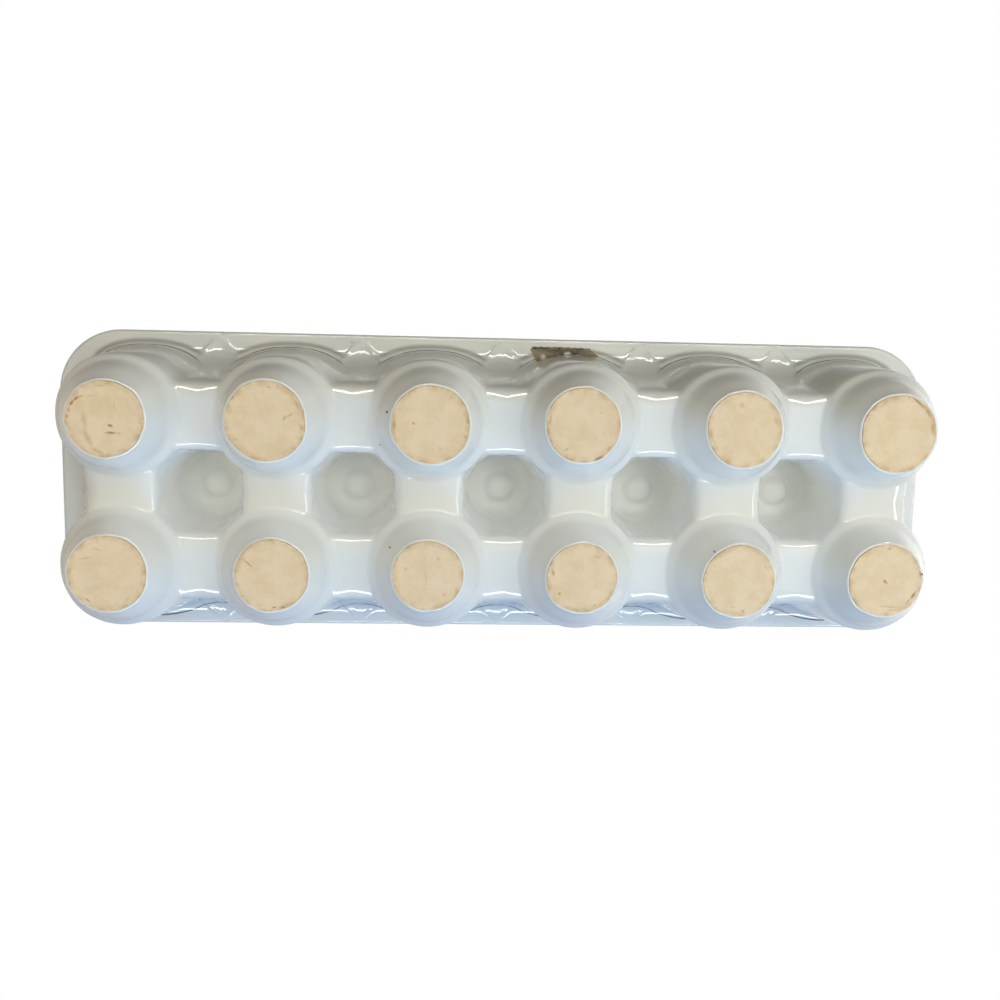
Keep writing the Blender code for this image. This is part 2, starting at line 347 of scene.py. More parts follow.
class CupCell:
    """One cup of the row beside a long rim, with its share of the saddles, posts and rim round it.

    HUG and FOLLOW weigh the cup and the rim's under face in the crease that keeps close to the cup. SPREAD
    pairs distances along a saddle's side with the angles of the spokes that end there.
    """

    CREASES = ("wall_crease", "cup_crease", "close_crease")
    HUG = 1.6
    FOLLOW = 0.55
    SPREAD = ((0.0, 0.0), (9.0, 24.0), (16.0, 37.0))
    DIAGONAL = 45.0
    QUARTER = 90.0
    CIRCLE = 2.0
    TINY = 1e-9

    def __init__(self, layout: Layout, sizes: CastingSizes, grid: GridSizes, column: int) -> None:
        """Set the cell's centre and its four sides.

        Args:
            layout: Places of the cups and the rim.
            sizes: Sizes of the casting.
            grid: How finely the skins are divided.
            column: Column of the cup, from the low end.
        """
        self.layout = layout
        self.sizes = sizes
        self.grid = grid
        self.west = Border.RIM if column == 0 else Border.SADDLE
        self.centre_x = layout.end_margin - layout.half_length + column * layout.pitch_x
        self.centre_y = -layout.pitch_y / 2
        self.east_reach = layout.pitch_x / 2
        self.north_reach = layout.pitch_y / 2
        self.south_reach = layout.side_margin - sizes.skin_inset
        rim_reach = layout.end_margin - sizes.skin_inset
        self.west_reach = rim_reach if self.west is Border.RIM else self.east_reach

    @property
    def centre(self) -> np.ndarray:
        """Middle of the cup, on the ground."""
        return np.array((self.centre_x, self.centre_y, 0.0))

    @property
    def top(self) -> float:
        """Level of the rim's top face."""
        return self.layout.height - self.sizes.skin_inset

    @property
    def flange(self) -> float:
        """Level of the rim's under face."""
        return self.layout.height - self.sizes.wall

    def profile(self, z: np.ndarray, skin: Skin) -> np.ndarray:
        """Radius of the cup's wall at a level.

        Args:
            z: Levels.
            skin: Skin of the casting.

        Returns:
            Radii, with the corners of the profile eased.
        """
        s = self.sizes
        if skin is Skin.UNDERSIDE:
            middle = (s.cup_foot_level + s.ledge_level) / 2
            bulged = (s.cup_foot_radius + s.ledge_radius) / 2 + s.cup_bulge
            levels = (s.cup_foot_level, middle, s.ledge_level, s.shoulder_level, self.flange)
            radii = (s.cup_foot_radius, bulged, s.ledge_radius, s.shoulder_radius, s.mouth_radius)
        else:
            levels = (s.bowl_level, s.ledge_level + s.wall / 2, s.shoulder_level + s.wall, self.top)
            radii = (
                s.cup_foot_radius - s.wall,
                s.ledge_radius - s.wall,
                s.shoulder_radius - s.wall,
                s.mouth_radius - s.wall,
            )
        slope = (radii[-1] - radii[-2]) / (levels[-1] - levels[-2])
        eased = 0.0
        offsets = np.linspace(-s.shoulder_round, s.shoulder_round, self.grid.ease_steps)
        for offset in offsets:
            beyond = np.maximum(z + offset - levels[-1], 0.0) * slope
            eased = eased + np.interp(z + offset, levels, radii) + beyond
        return eased / len(offsets)

    def cup(self, u: np.ndarray, v: np.ndarray, z: np.ndarray, skin: Skin) -> np.ndarray:
        """Signed distance to the cup's wall, round below and squarer towards the mouth.

        Args:
            u: Distances from the cup's centre along X.
            v: Distances from the cup's centre along Y.
            z: Levels.
            skin: Skin of the casting.

        Returns:
            Signed distances, negative inside.
        """
        s = self.sizes
        levels = (s.ledge_level, s.shoulder_level, self.flange)
        power = np.interp(z, levels, (self.CIRCLE, s.shoulder_squareness, s.mouth_squareness))
        across = np.abs(u) + self.TINY
        along = np.abs(v) + self.TINY
        radius = (across**power + along**power) ** (1.0 / power)
        return radius - self.profile(z, skin)

    def side_ends(self) -> tuple[float, float]:
        """Distance of a saddle's end at a long side from the cups' line, at the saddle and under the rim."""
        tip = self.layout.side_margin - self.sizes.side_land
        return tip - self.sizes.side_lean, tip

    def short_ends(self) -> tuple[float, float]:
        """Distance of a saddle's end at a short side from the cups' line, at the saddle and under the rim."""
        tip = self.layout.end_margin - self.sizes.end_land
        return tip - self.sizes.end_lean, tip

    def post_ends(self, half_pitch: float) -> tuple[float, float]:
        """Distance of a saddle's post end from the cups' line, at the saddle and under the rim."""
        s = self.sizes
        return half_pitch - s.hollow_half, half_pitch - s.hollow_half + s.hollow_lean

    def saddle(
        self,
        along: np.ndarray,
        across: np.ndarray,
        z: np.ndarray,
        low: tuple[float, float],
        high: tuple[float, float],
        skin: Skin,
    ) -> np.ndarray:
        """Signed distance to a saddle, or to the notch over it.

        Args:
            along: Distances from the cup's centre towards its neighbour.
            across: Distances from the line between the two centres.
            z: Levels.
            low: Ends of the saddle on the negative side.
            high: Ends of the saddle on the positive side.
            skin: Skin of the casting.

        Returns:
            Signed distances.
        """
        s = self.sizes
        inset = 0.0 if skin is Skin.UNDERSIDE else s.wall
        edge = s.saddle_edge if skin is Skin.UNDERSIDE else s.notch_edge
        share = (z - s.saddle_level) / (self.flange - s.saddle_level)
        below = -(low[0] + (low[1] - low[0]) * share) + inset
        above = high[0] + (high[1] - high[0]) * share - inset
        ends = np.maximum(below - across, across - above)
        block = round_overlap(ends, s.saddle_level + inset - z, edge)
        return np.maximum(block, s.saddle_start - along)

    def saddles(self, u: np.ndarray, v: np.ndarray, z: np.ndarray, skin: Skin) -> Iterator[np.ndarray]:
        """Each saddle, or notch, that leaves the cell.

        Args:
            u: Distances from the cup's centre along X.
            v: Distances from the cup's centre along Y.
            z: Levels.
            skin: Skin of the casting.

        Returns:
            Iterator over the signed distances to each.
        """
        side = self.side_ends()
        post_y = self.post_ends(self.north_reach)
        post_x = self.post_ends(self.east_reach)
        west = self.short_ends() if self.west is Border.RIM else post_x
        yield self.saddle(u, v, z, side, post_y, skin)
        yield self.saddle(v, u, z, west, post_x, skin)
        if self.west is Border.SADDLE:
            yield self.saddle(-u, v, z, side, post_y, skin)

    def posts(self) -> Iterator[tuple[float, float]]:
        """Centres of the posts at the cell's corners.

        Returns:
            Iterator over distances from the cup's centre along X and Y.
        """
        yield self.east_reach, self.north_reach
        if self.west is Border.SADDLE:
            yield -self.east_reach, self.north_reach

    def post_top(self, u: np.ndarray, v: np.ndarray, z: np.ndarray, level: float) -> np.ndarray:
        """Signed distance to the ceiling of the hollow posts, or to the dips over them.

        Args:
            u: Distances from the cup's centre along X.
            v: Distances from the cup's centre along Y.
            z: Levels.
            level: Level of the ceiling, or of the dips.

        Returns:
            Signed distances, negative inside.
        """
        half = self.sizes.hollow_half - self.sizes.hollow_lean + self.sizes.wall
        faces = []
        for x, y in self.posts():
            inside = np.maximum(np.abs(u - x), np.abs(v - y)) - half
            faces.append(np.maximum(level - z, inside))
        return np.minimum.reduce(faces)

    def lip(self, u: np.ndarray, v: np.ndarray, z: np.ndarray, cup: np.ndarray) -> np.ndarray:
        """Signed distance to the cup with its lowest edge rounded, round the seat of the foot.

        Args:
            u: Distances from the cup's centre along X.
            v: Distances from the cup's centre along Y.
            z: Levels.
            cup: Signed distances to the cup's wall.

        Returns:
            Signed distances, negative inside.
        """
        s = self.sizes
        rounded = round_overlap(cup, s.lip_level - z, s.lip_edge)
        seat = np.maximum(np.hypot(u, v) - s.seat_radius, z - s.seat_level)
        return round_overlap(rounded, -seat, s.seat_edge)

    def walls(self, u: np.ndarray, v: np.ndarray, z: np.ndarray, skin: Skin) -> np.ndarray:
        """Signed distance to the cup, saddles and posts without the rim.

        Args:
            u: Distances from the cup's centre along X.
            v: Distances from the cup's centre along Y.
            z: Levels.
            skin: Skin of the casting.

        Returns:
            Signed distances, negative inside.
        """
        s = self.sizes
        under = skin is Skin.UNDERSIDE
        cup = self.cup(u, v, z, skin)
        whole = self.lip(u, v, z, cup) if under else round_overlap(cup, s.bowl_level - z, s.bowl_round)
        rise = np.clip((z - s.saddle_level) / s.fillet_rise, 0.0, 1.0)
        fillet = s.pad_fillet + (s.cup_fillet - s.pad_fillet) * rise
        for saddle in self.saddles(u, v, z, skin):
            whole = round_union(whole, saddle, fillet)
        level = self.layout.height - s.post_drop - (s.wall if under else 0.0)
        return round_union(whole, self.post_top(u, v, z, level), s.ceiling_fillet)

    def solid(self, u: np.ndarray, v: np.ndarray, z: np.ndarray, skin: Skin) -> np.ndarray:
        """Signed distance to the casting seen from below, or to the room over it.

        Args:
            u: Distances from the cup's centre along X.
            v: Distances from the cup's centre along Y.
            z: Levels.
            skin: Skin of the casting.

        Returns:
            Signed distances, negative inside.
        """
        s = self.sizes
        under = skin is Skin.UNDERSIDE
        face = (self.flange if under else self.top) - z
        whole = round_union(self.walls(u, v, z, skin), face, s.flange_fillet if under else s.mouth_round)
        if not under:
            return whole
        lands = [round_union(saddle, face, s.land_fillet) for saddle in self.saddles(u, v, z, skin)]
        return np.minimum(whole, np.minimum.reduce(lands))

    def creases(self, u: np.ndarray, v: np.ndarray, z: np.ndarray, skin: Skin) -> tuple[np.ndarray, ...]:
        """How far a place is from where the rim's under face meets the walls, the cup, and the cup closely.

        Args:
            u: Distances from the cup's centre along X.
            v: Distances from the cup's centre along Y.
            z: Levels of the skin there.
            skin: Skin of the casting.

        Returns:
            The differences, negative on the walls, and far from any crease on the upper skin.
        """
        if skin is Skin.TOPSIDE:
            far = np.full(u.shape, self.layout.height)
            return far, far, far
        face = self.flange - z
        cup = self.cup(u, v, z, skin)
        return self.walls(u, v, z, skin) - face, cup - face, cup * self.HUG - face * self.FOLLOW

    def inside_rim(self, u: np.ndarray, v: np.ndarray) -> np.ndarray:
        """Distance inwards from the rim's outline.

        Args:
            u: Distances from the cup's centre along X.
            v: Distances from the cup's centre along Y.

        Returns:
            Distances, negative outside the outline.
        """
        s = self.sizes
        half_x = self.layout.half_length - s.skin_inset - s.corner_radius
        half_y = self.layout.half_width - s.skin_inset - s.corner_radius
        out_x = np.abs(u + self.centre_x) - half_x
        out_y = np.abs(v + self.centre_y) - half_y
        corner = np.hypot(np.maximum(out_x, 0.0), np.maximum(out_y, 0.0))
        return s.corner_radius - corner - np.minimum(np.maximum(out_x, out_y), 0.0)

    def rim_drop(self, u: np.ndarray, v: np.ndarray) -> np.ndarray:
        """How far the rounded edge of the rim falls away from its faces.

        Args:
            u: Distances from the cup's centre along X.
            v: Distances from the cup's centre along Y.

        Returns:
            Drops, 0 away from the edge.
        """
        edge = self.sizes.rim_round
        short = np.clip(edge - self.inside_rim(u, v), 0.0, edge)
        return edge - np.sqrt(edge**2 - short**2)

    def heights(self, u: np.ndarray, v: np.ndarray, skin: Skin) -> np.ndarray:
        """Level of a skin at each place, found by halving.

        Args:
            u: Distances from the cup's centre along X.
            v: Distances from the cup's centre along Y.
            skin: Skin of the casting.

        Returns:
            Levels.
        """
        low = np.full(u.shape, -self.sizes.wall)
        high = np.full(u.shape, self.layout.height + self.sizes.wall)
        for _ in range(self.grid.bisections):
            middle = (low + high) / 2
            inside = self.solid(u, v, middle, skin) < 0.0
            high = np.where(inside, middle, high)
            low = np.where(inside, low, middle)
        drop = self.rim_drop(u, v)
        return high + drop if skin is Skin.UNDERSIDE else high - drop

    def saddle_stations(self, start: Vector, corner: Vector, skin: Skin) -> tuple[np.ndarray, np.ndarray]:
        """Angles and places of the spokes that end on half of a saddle's side.

        Args:
            start: Middle of the side.
            corner: Corner of the cell.
            skin: Skin of the casting.

        Returns:
            Angles from the side's middle in degrees, and shares of the way to the corner.
        """
        shares = np.linspace(0.0, 1.0, self.grid.samples)
        u = start.x + (corner.x - start.x) * shares
        v = start.y + (corner.y - start.y) * shares
        z = self.heights(u, v, skin)
        path = self.weighted_length(u, v, z)
        ticks = np.linspace(0.0, path[-1], self.grid.half_saddle[skin] + 1)
        chosen = np.interp(ticks, path, shares)
        reach = (corner - start).length
        distances, angles = zip(*self.SPREAD, (reach, self.DIAGONAL))
        return np.interp(chosen * reach, distances, angles), chosen

    def rim_stations(self, skin: Skin) -> tuple[np.ndarray, np.ndarray]:
        """Angles and places of the spokes that end on half of a rim's side."""
        angles = np.linspace(0.0, self.DIAGONAL, self.grid.half_rim[skin] + 1)
        return angles, np.tan(np.radians(angles))

    def weighted_length(self, u: np.ndarray, v: np.ndarray, z: np.ndarray) -> np.ndarray:
        """Length along a path, with more of it counted where it bends and at the rim.

        Args:
            u: Distances from the cup's centre along X.
            v: Distances from the cup's centre along Y.
            z: Levels.

        Returns:
            Weighted lengths from each path's start to each of its points.
        """
        steps = np.stack([np.diff(u, axis=-1), np.diff(v, axis=-1), np.diff(z, axis=-1)], axis=-1)
        lengths = np.linalg.norm(steps, axis=-1)
        tangents = steps / np.maximum(lengths, self.TINY)[..., None]
        turns = np.linalg.norm(np.diff(tangents, axis=-2), axis=-1)
        weights = lengths * self.interest(u, v)[..., 1:]
        weights[..., 1:] += self.grid.bend_weight * turns
        start = np.zeros(weights.shape[:-1] + (1,))
        return np.concatenate([start, np.cumsum(weights, axis=-1)], axis=-1)

    def interest(self, u: np.ndarray, v: np.ndarray) -> np.ndarray:
        """How much finer than elsewhere the skins are divided at each place."""
        rim = np.clip(self.grid.rim_reach - self.inside_rim(u, v) / self.sizes.rim_round, 0.0, 1.0)
        return 1.0 + self.grid.rim_weight * rim

    def halves(self) -> Iterator[tuple[float, Vector, Vector, Border]]:
        """Half sides of the cell, anticlockwise: first angle, middle of the side, corner and border.

        Returns:
            Iterator over the half sides.
        """
        east, north, west, south = self.east_reach, self.north_reach, self.west_reach, self.south_reach
        middles = (Vector((east, 0)), Vector((0, north)), Vector((-west, 0)), Vector((0, -south)))
        borders = (Border.SADDLE, Border.SADDLE, self.west, Border.RIM)
        corners = (
            Vector((east, north)),
            Vector((-west, north)),
            Vector((-west, -south)),
            Vector((east, -south)),
        )
        for side, corner in enumerate(corners):
            turn = self.QUARTER * side
            yield turn, middles[side], corner, borders[side]
            after = (side + 1) % len(corners)
            yield turn + self.QUARTER, middles[after], corner, borders[after]

    def onto_outline(self, place: np.ndarray) -> np.ndarray:
        """Draw a place at the rim's corner in to its rounded outline.

        Args:
            place: Place on the cell's square outline.

        Returns:
            The place on the rounded outline.
        """
        s = self.sizes
        if self.west is not Border.RIM:
            return place
        centre = np.array((s.corner_radius - self.west_reach, s.corner_radius - self.south_reach))
        away = place - centre
        if away[0] >= 0.0 or away[1] >= 0.0:
            return place
        return centre + away * (s.corner_radius / np.hypot(*away))

    def spokes(self, skin: Skin) -> tuple[np.ndarray, np.ndarray]:
        """Spokes from the cup to the outline of its cell, anticlockwise from +X.

        Args:
            skin: Skin of the casting.

        Returns:
            Angles in radians, and outer ends.
        """
        all_angles: list[float] = []
        ends: list[np.ndarray] = []
        for index, (quarter, middle, corner, border) in enumerate(self.halves()):
            if border is Border.SADDLE:
                angles, shares = self.saddle_stations(middle, corner, skin)
            else:
                angles, shares = self.rim_stations(skin)
            first, last = np.array(middle), np.array(corner)
            places = [self.onto_outline(first + (last - first) * share) for share in shares]
            forward = index % 2 == 0
            turned = quarter + angles if forward else (quarter - angles)[::-1]
            ordered = places if forward else places[::-1]
            all_angles.extend(turned[:-1])
            ends.extend(ordered[:-1])
        return np.radians(all_angles), np.array(ends)

    def inner_radii(self, skin: Skin) -> np.ndarray:
        """Radii of the rings between the cup's middle and its shoulder.

        Args:
            skin: Skin of the casting.

        Returns:
            Radii, from the middle outwards.
        """
        s = self.sizes
        grid = self.grid
        if skin is Skin.TOPSIDE:
            return np.linspace(0.0, s.shoulder_radius - s.wall, grid.bowl_rings)
        seat = s.seat_radius + s.seat_edge * np.array(grid.seat_rings)
        lip_start = s.seat_radius + grid.lip_start * s.seat_edge
        lip = np.linspace(lip_start, s.cup_foot_radius + s.lip_edge / 2, grid.lip_rings)
        cone = np.linspace(s.cup_foot_radius + s.lip_edge, s.ledge_radius - s.shoulder_round, grid.cone_rings)
        ledge = np.linspace(s.ledge_radius, s.shoulder_radius + s.shoulder_round, grid.ledge_rings)
        return np.concatenate([[0.0], seat, lip, cone, ledge])

    def points(self, skin: Skin) -> np.ndarray:
        """Points of a skin over the cell, by spoke and ring.

        Args:
            skin: Skin of the casting.

        Returns:
            Array of spokes, rings and coordinates.
        """
        angles, ends = self.spokes(skin)
        radii = self.inner_radii(skin)
        directions = np.stack([np.cos(angles), np.sin(angles)], axis=-1)
        inner = directions[:, None, :] * radii[None, :, None]
        shoulder = inner[:, -1]
        shares = np.linspace(0.0, 1.0, self.grid.samples)
        fine = shoulder[:, None] + (ends - shoulder)[:, None] * shares[None, :, None]
        fine_z = self.heights(fine[..., 0], fine[..., 1], skin)
        path = self.weighted_length(fine[..., 0], fine[..., 1], fine_z)
        rings = []
        for spoke in range(len(angles)):
            ticks = np.linspace(0.0, path[spoke, -1], self.grid.outer_rings[skin] + 1)[1:]
            chosen = np.interp(ticks, path[spoke], shares)
            place = shoulder[spoke] + (ends[spoke] - shoulder[spoke]) * chosen[:, None]
            level = np.interp(ticks, path[spoke], fine_z[spoke])
            rings.append(np.column_stack([place, level]))
        inner_z = self.heights(inner[..., 0], inner[..., 1], skin)
        inside = np.concatenate([inner, inner_z[..., None]], axis=-1)
        whole = np.concatenate([inside, np.array(rings)], axis=1)
        return whole + self.centre

    def wrap(self, skin: Skin) -> Piece:
        """Wrap a grid primitive round the cup onto one skin of the casting.

        Args:
            skin: Skin of the casting.

        Returns:
            The wrapped grid, open at the cell's outline.
        """
        points = self.points(skin)
        closed = np.concatenate([points, points[:1]], axis=0)
        spokes, rings = closed.shape[:2]
        deselect_all()
        bpy.ops.mesh.primitive_grid_add(x_subdivisions=spokes - 1, y_subdivisions=rings - 1)
        patch = bpy.context.object
        placed = closed.transpose(1, 0, 2).reshape(-1, 3)
        write_points(patch.data, placed)
        u, v, z = (placed - self.centre).T
        for name, values in zip(self.CREASES, self.creases(u, v, z, skin)):
            paint(patch.data, name, values)
        return patch


@dataclass(frozen=True)
class Noise:
    """A noise pattern: its size in millimetres, detail, roughness and the part of its range that shows."""

    size: float
    detail: float
    roughness: float
    low: float = 0.0
    high: float = 1.0


class Graph:
    """Short ways to add nodes to a node tree."""

    FIRST_COLOUR = 6
    SECOND_COLOUR = 7
    MIXED_COLOUR = 2

    def __init__(self, tree: bpy.types.NodeTree) -> None:
        """Keep the tree that nodes are added to."""
        self.tree = tree

    def add(self, kind: str, **settings: str) -> bpy.types.Node:
        """Add a node of a kind, with its settings.

        Args:
            kind: Kind of node, without its prefix.
            settings: Properties of the node by name.

        Returns:
            The node.
        """
        node = self.tree.nodes.new(f"ShaderNode{kind}")
        for name, value in settings.items():
            setattr(node, name, value)
        return node

    def feed(self, target: Socket, source: Socket | Vector | Colour | float) -> None:
        """Join a socket to the one that feeds it, or give it a fixed value.

        Args:
            target: Socket to feed.
            source: Socket or value that feeds it.
        """
        if isinstance(source, Socket):
            self.tree.links.new(source, target)
        elif target.type == "RGBA":
            target.default_value = (*source, 1.0)
        else:
            target.default_value = source

    def combine(self, kind: str, first: Socket, second: Socket | float) -> Socket:
        """Work out one value from two.

        Args:
            kind: What is done with them.
            first: First value.
            second: Second value.

        Returns:
            Socket that gives the result.
        """
        node = self.add("Math", operation=kind)
        self.feed(node.inputs[0], first)
        self.feed(node.inputs[1], second)
        return node.outputs["Value"]

    def times(self, first: Socket, *others: Socket | float) -> Socket:
        """Multiply some values.

        Args:
            first: First value.
            others: Values that multiply it.

        Returns:
            Socket that gives the product.
        """
        for other in others:
            first = self.combine("MULTIPLY", first, other)
        return first

    def vectors(self, kind: str, first: Socket, second: Socket | Vector | Colour) -> bpy.types.Node:
        """Add a node that works on two vectors.

        Args:
            kind: What is done with them.
            first: First vector.
            second: Second vector.

        Returns:
            The node.
        """
        node = self.add("VectorMath", operation=kind)
        self.feed(node.inputs[0], first)
        self.feed(node.inputs[1], second)
        return node

    def mix(self, share: Socket, first: Socket | Colour, second: Colour) -> Socket:
        """Blend a colour into another by a share.

        Args:
            share: Share of the second colour.
            first: First colour.
            second: Second colour.

        Returns:
            Socket that gives the blend.
        """
        node = self.add("Mix", data_type="RGBA")
        self.feed(node.inputs["Factor"], share)
        self.feed(node.inputs[self.FIRST_COLOUR], first)
        self.feed(node.inputs[self.SECOND_COLOUR], second)
        return node.outputs[self.MIXED_COLOUR]


class MaterialGraph(Graph):
    """Nodes of a procedural material, on its piece's own coordinates."""

    IN_PLAN = (1.0, 1.0, 0.0)

    def __init__(self, name: str) -> None:
        """Make the material and find its shader.

        Args:
            name: Name of the material.
        """
        self.material = bpy.data.materials.new(name)
        self.material.use_nodes = True
        super().__init__(self.material.node_tree)
        self.shader = self.tree.nodes["Principled BSDF"]
        self.place = self.add("TexCoord").outputs["Object"]

    def shade(self, name: str, source: Socket | Colour | float) -> None:
        """Set one input of the shader."""
        self.feed(self.shader.inputs[name], source)

    def attribute(self, name: str) -> Socket:
        """Value painted on the mesh."""
        return self.add("Attribute", attribute_name=name).outputs["Fac"]

    def ramp(self, source: Socket, low: float, high: float) -> Socket:
        """Stretch part of a value's range to between 0 and 1, smoothly.

        Args:
            source: Value to stretch.
            low: Value that gives 0.
            high: Value that gives 1.

        Returns:
            Socket that gives the stretched value.
        """
        node = self.add("MapRange", interpolation_type="SMOOTHSTEP")
        self.feed(node.inputs["From Min"], low)
        self.feed(node.inputs["From Max"], high)
        self.feed(node.inputs["Value"], source)
        return node.outputs["Result"]

    def noise(self, pattern: Noise) -> Socket:
        """A noise pattern's whole range, from 0 to 1.

        Args:
            pattern: The pattern.

        Returns:
            Socket that gives the noise.
        """
        node = self.add("TexNoise")
        self.feed(node.inputs["Scale"], 1.0 / (pattern.size * MM))
        self.feed(node.inputs["Detail"], pattern.detail)
        self.feed(node.inputs["Roughness"], pattern.roughness)
        self.feed(node.inputs["Vector"], self.place)
        return node.outputs["Fac"]

    def patches(self, pattern: Noise) -> Socket:
        """The part of a noise pattern's range that shows, stretched to between 0 and 1."""
        return self.ramp(self.noise(pattern), pattern.low, pattern.high)

    def band(self, name: str, place: float, half: float) -> Socket:
        """1 where a painted value is at its place, and 0 from half a band's width away from there."""
        offset = self.combine("SUBTRACT", self.attribute(name), place)
        return self.ramp(self.combine("ABSOLUTE", offset, 0.0), half, 0.0)

    def away_from(self, x: float, y: float) -> Socket:
        """Distance in plan from a place given in millimetres, in metres."""
        flat = self.vectors("MULTIPLY", self.place, self.IN_PLAN).outputs["Vector"]
        return self.vectors("DISTANCE", flat, (x * MM, y * MM, 0.0)).outputs["Value"]

    def below(self) -> Socket:
        """1 where the surface faces down, 0 elsewhere.

        Returns:
            Socket that gives the value.
        """
        axes = self.add("SeparateXYZ")
        self.feed(axes.inputs["Vector"], self.add("NewGeometry").outputs["Normal"])
        return self.combine("LESS_THAN", axes.outputs["Z"], 0.0)

    def bump(self, source: Socket, depth: float) -> None:
        """Roughen the surface by a value, to a depth in millimetres.

        Args:
            source: Value that gives the relief.
            depth: Depth of the relief.
        """
        node = self.add("Bump")
        self.feed(node.inputs["Distance"], depth * MM)
        self.feed(node.inputs["Height"], source)
        self.shade("Normal", node.outputs["Normal"])


@dataclass(frozen=True)
class GlazeFinish:
    """Glossy white glaze, a little uneven, with a dark line painted along the crease under the rim and
    painted shade beside it along one long side.
    """

    colour: Colour = (0.90, 0.90, 0.89)
    # Colour of the dark line painted along the crease under the rim.
    crease: Colour = (0.10, 0.085, 0.065)
    crease_place: float = -1.4
    crease_half: float = 0.55
    line_cover: Noise = Noise(9.0, 3.0, 0.6, 0.20, 0.52)
    # Colour of the painted shade beside the crease along the north long side.
    shade: Colour = (0.42, 0.40, 0.36)
    shade_place: float = 1.7
    shade_half: float = 2.0
    shade_strength: float = 0.85
    roughness: float = 0.10
    specular: float = 0.5
    dullness: float = 0.92
    unevenness: float = 0.10
    ripple: Noise = Noise(16.0, 1.0, 0.4)
    speck: Colour = (0.16, 0.14, 0.11)
    speck_core: float = 0.3
    ragged: Noise = Noise(0.5, 2.0, 0.6)
    specks: tuple[tuple[float, float, float], ...] = (
        (-45.9, -18.7, 0.22),
        (-59.9, -56.2, 0.20),
        (-43.0, -31.1, 0.40),
        (-41.7, 17.8, 0.28),
        (75.9, 17.1, 0.25),
        (153.2, 24.4, 0.40),
        (144.4, -39.9, 0.28),
    )

    def build(self) -> bpy.types.Material:
        """Make the glaze's material.

        Returns:
            The material.
        """
        nodes = MaterialGraph("white_glaze")
        # Dark line painted along the crease under the rim, broken into patches.
        line = nodes.band("crease", self.crease_place, self.crease_half)
        line = nodes.times(line, nodes.patches(self.line_cover), nodes.attribute("creased"))
        # Painted shade beside the crease along one long side, where the walls lie in shade.
        band = nodes.band("shade", self.shade_place, self.shade_half)
        band = nodes.times(band, self.shade_strength, nodes.attribute("shaded"))
        colour = nodes.mix(band, self.colour, self.shade)
        colour = nodes.mix(line, colour, self.crease)
        ragged = nodes.noise(self.ragged)
        below = nodes.below()
        for x, y, radius in self.specks:
            reach = radius * MM
            away = nodes.combine("ADD", nodes.away_from(x, y), nodes.times(ragged, -reach))
            spot = nodes.times(nodes.ramp(away, reach, self.speck_core * reach), below)
            colour = nodes.mix(spot, colour, self.speck)
        nodes.shade("Base Color", colour)
        nodes.shade("Roughness", self.roughness)
        lost = nodes.times(nodes.attribute("dull"), -self.dullness * self.specular)
        nodes.shade("Specular IOR Level", nodes.combine("ADD", lost, self.specular))
        nodes.bump(nodes.noise(self.ripple), self.unevenness)
        return nodes.material


@dataclass(frozen=True)
class ClayFinish:
    """Matt bare clay, mottled, browner at the edge and marked by the kiln."""

    pale: Colour = (0.95, 0.750, 0.525)
    tan: Colour = (0.89, 0.675, 0.440)
    edge: Colour = (0.68, 0.440, 0.225)
    soot: Colour = (0.330, 0.120, 0.012)
    mottle: Noise = Noise(7.0, 5.0, 0.62, 0.38, 0.66)
    grain: Noise = Noise(0.8, 4.0, 0.7, 0.50, 0.80)
    grain_strength: float = 0.35
    edge_patches: Noise = Noise(4.0, 4.0, 0.6, 0.35, 0.70)
    ragged: Noise = Noise(0.6, 3.0, 0.6)
    soot_floor: float = 0.35
    roughness: float = 0.9
    specular: float = 0.08
    relief: float = 0.06

    def build(self) -> bpy.types.Material:
        """Make the bare clay's material.

        Returns:
            The material.
        """
        nodes = MaterialGraph("bare_clay")
        colour = nodes.mix(nodes.patches(self.mottle), self.pale, self.tan)
        grain = nodes.noise(self.grain)
        fine = nodes.times(nodes.ramp(grain, self.grain.low, self.grain.high), self.grain_strength)
        colour = nodes.mix(fine, colour, self.edge)
        patchy = nodes.times(nodes.attribute("edge"), nodes.patches(self.edge_patches))
        colour = nodes.mix(patchy, colour, self.edge)
        ragged = nodes.combine("ADD", nodes.noise(self.ragged), self.soot_floor)
        colour = nodes.mix(nodes.times(nodes.attribute("soot"), ragged), colour, self.soot)
        nodes.shade("Base Color", colour)
        nodes.shade("Roughness", self.roughness)
        nodes.shade("Specular IOR Level", self.specular)
        nodes.bump(grain, self.relief)
        return nodes.material


@dataclass(frozen=True)
class Mark:
    """A mark on bare clay: its place, length, width, turn in degrees and strength."""

    x: float
    y: float
    length: float
    width: float
    turn: float
    strength: float

    SOFT_EDGE: ClassVar[float] = 1.5

    def cover(self, x: np.ndarray, y: np.ndarray) -> np.ndarray:
        """How strongly the mark covers each place.

        Args:
            x: Places along X.
            y: Places along Y.

        Returns:
            Cover at each place, from 0 to the mark's strength.
        """
        angle = math.radians(self.turn)
        along = (x - self.x) * math.cos(angle) + (y - self.y) * math.sin(angle)
        across = (y - self.y) * math.cos(angle) - (x - self.x) * math.sin(angle)
        distance = np.hypot(along / (self.length / 2), across / (self.width / 2))
        return self.strength * np.clip(self.SOFT_EDGE - distance, 0.0, 1.0)


def cover_all(marks: tuple[Mark, ...], x: np.ndarray, y: np.ndarray) -> np.ndarray:
    """How strongly the strongest of some marks covers each place."""
    return np.maximum.reduce([mark.cover(x, y) for mark in marks])


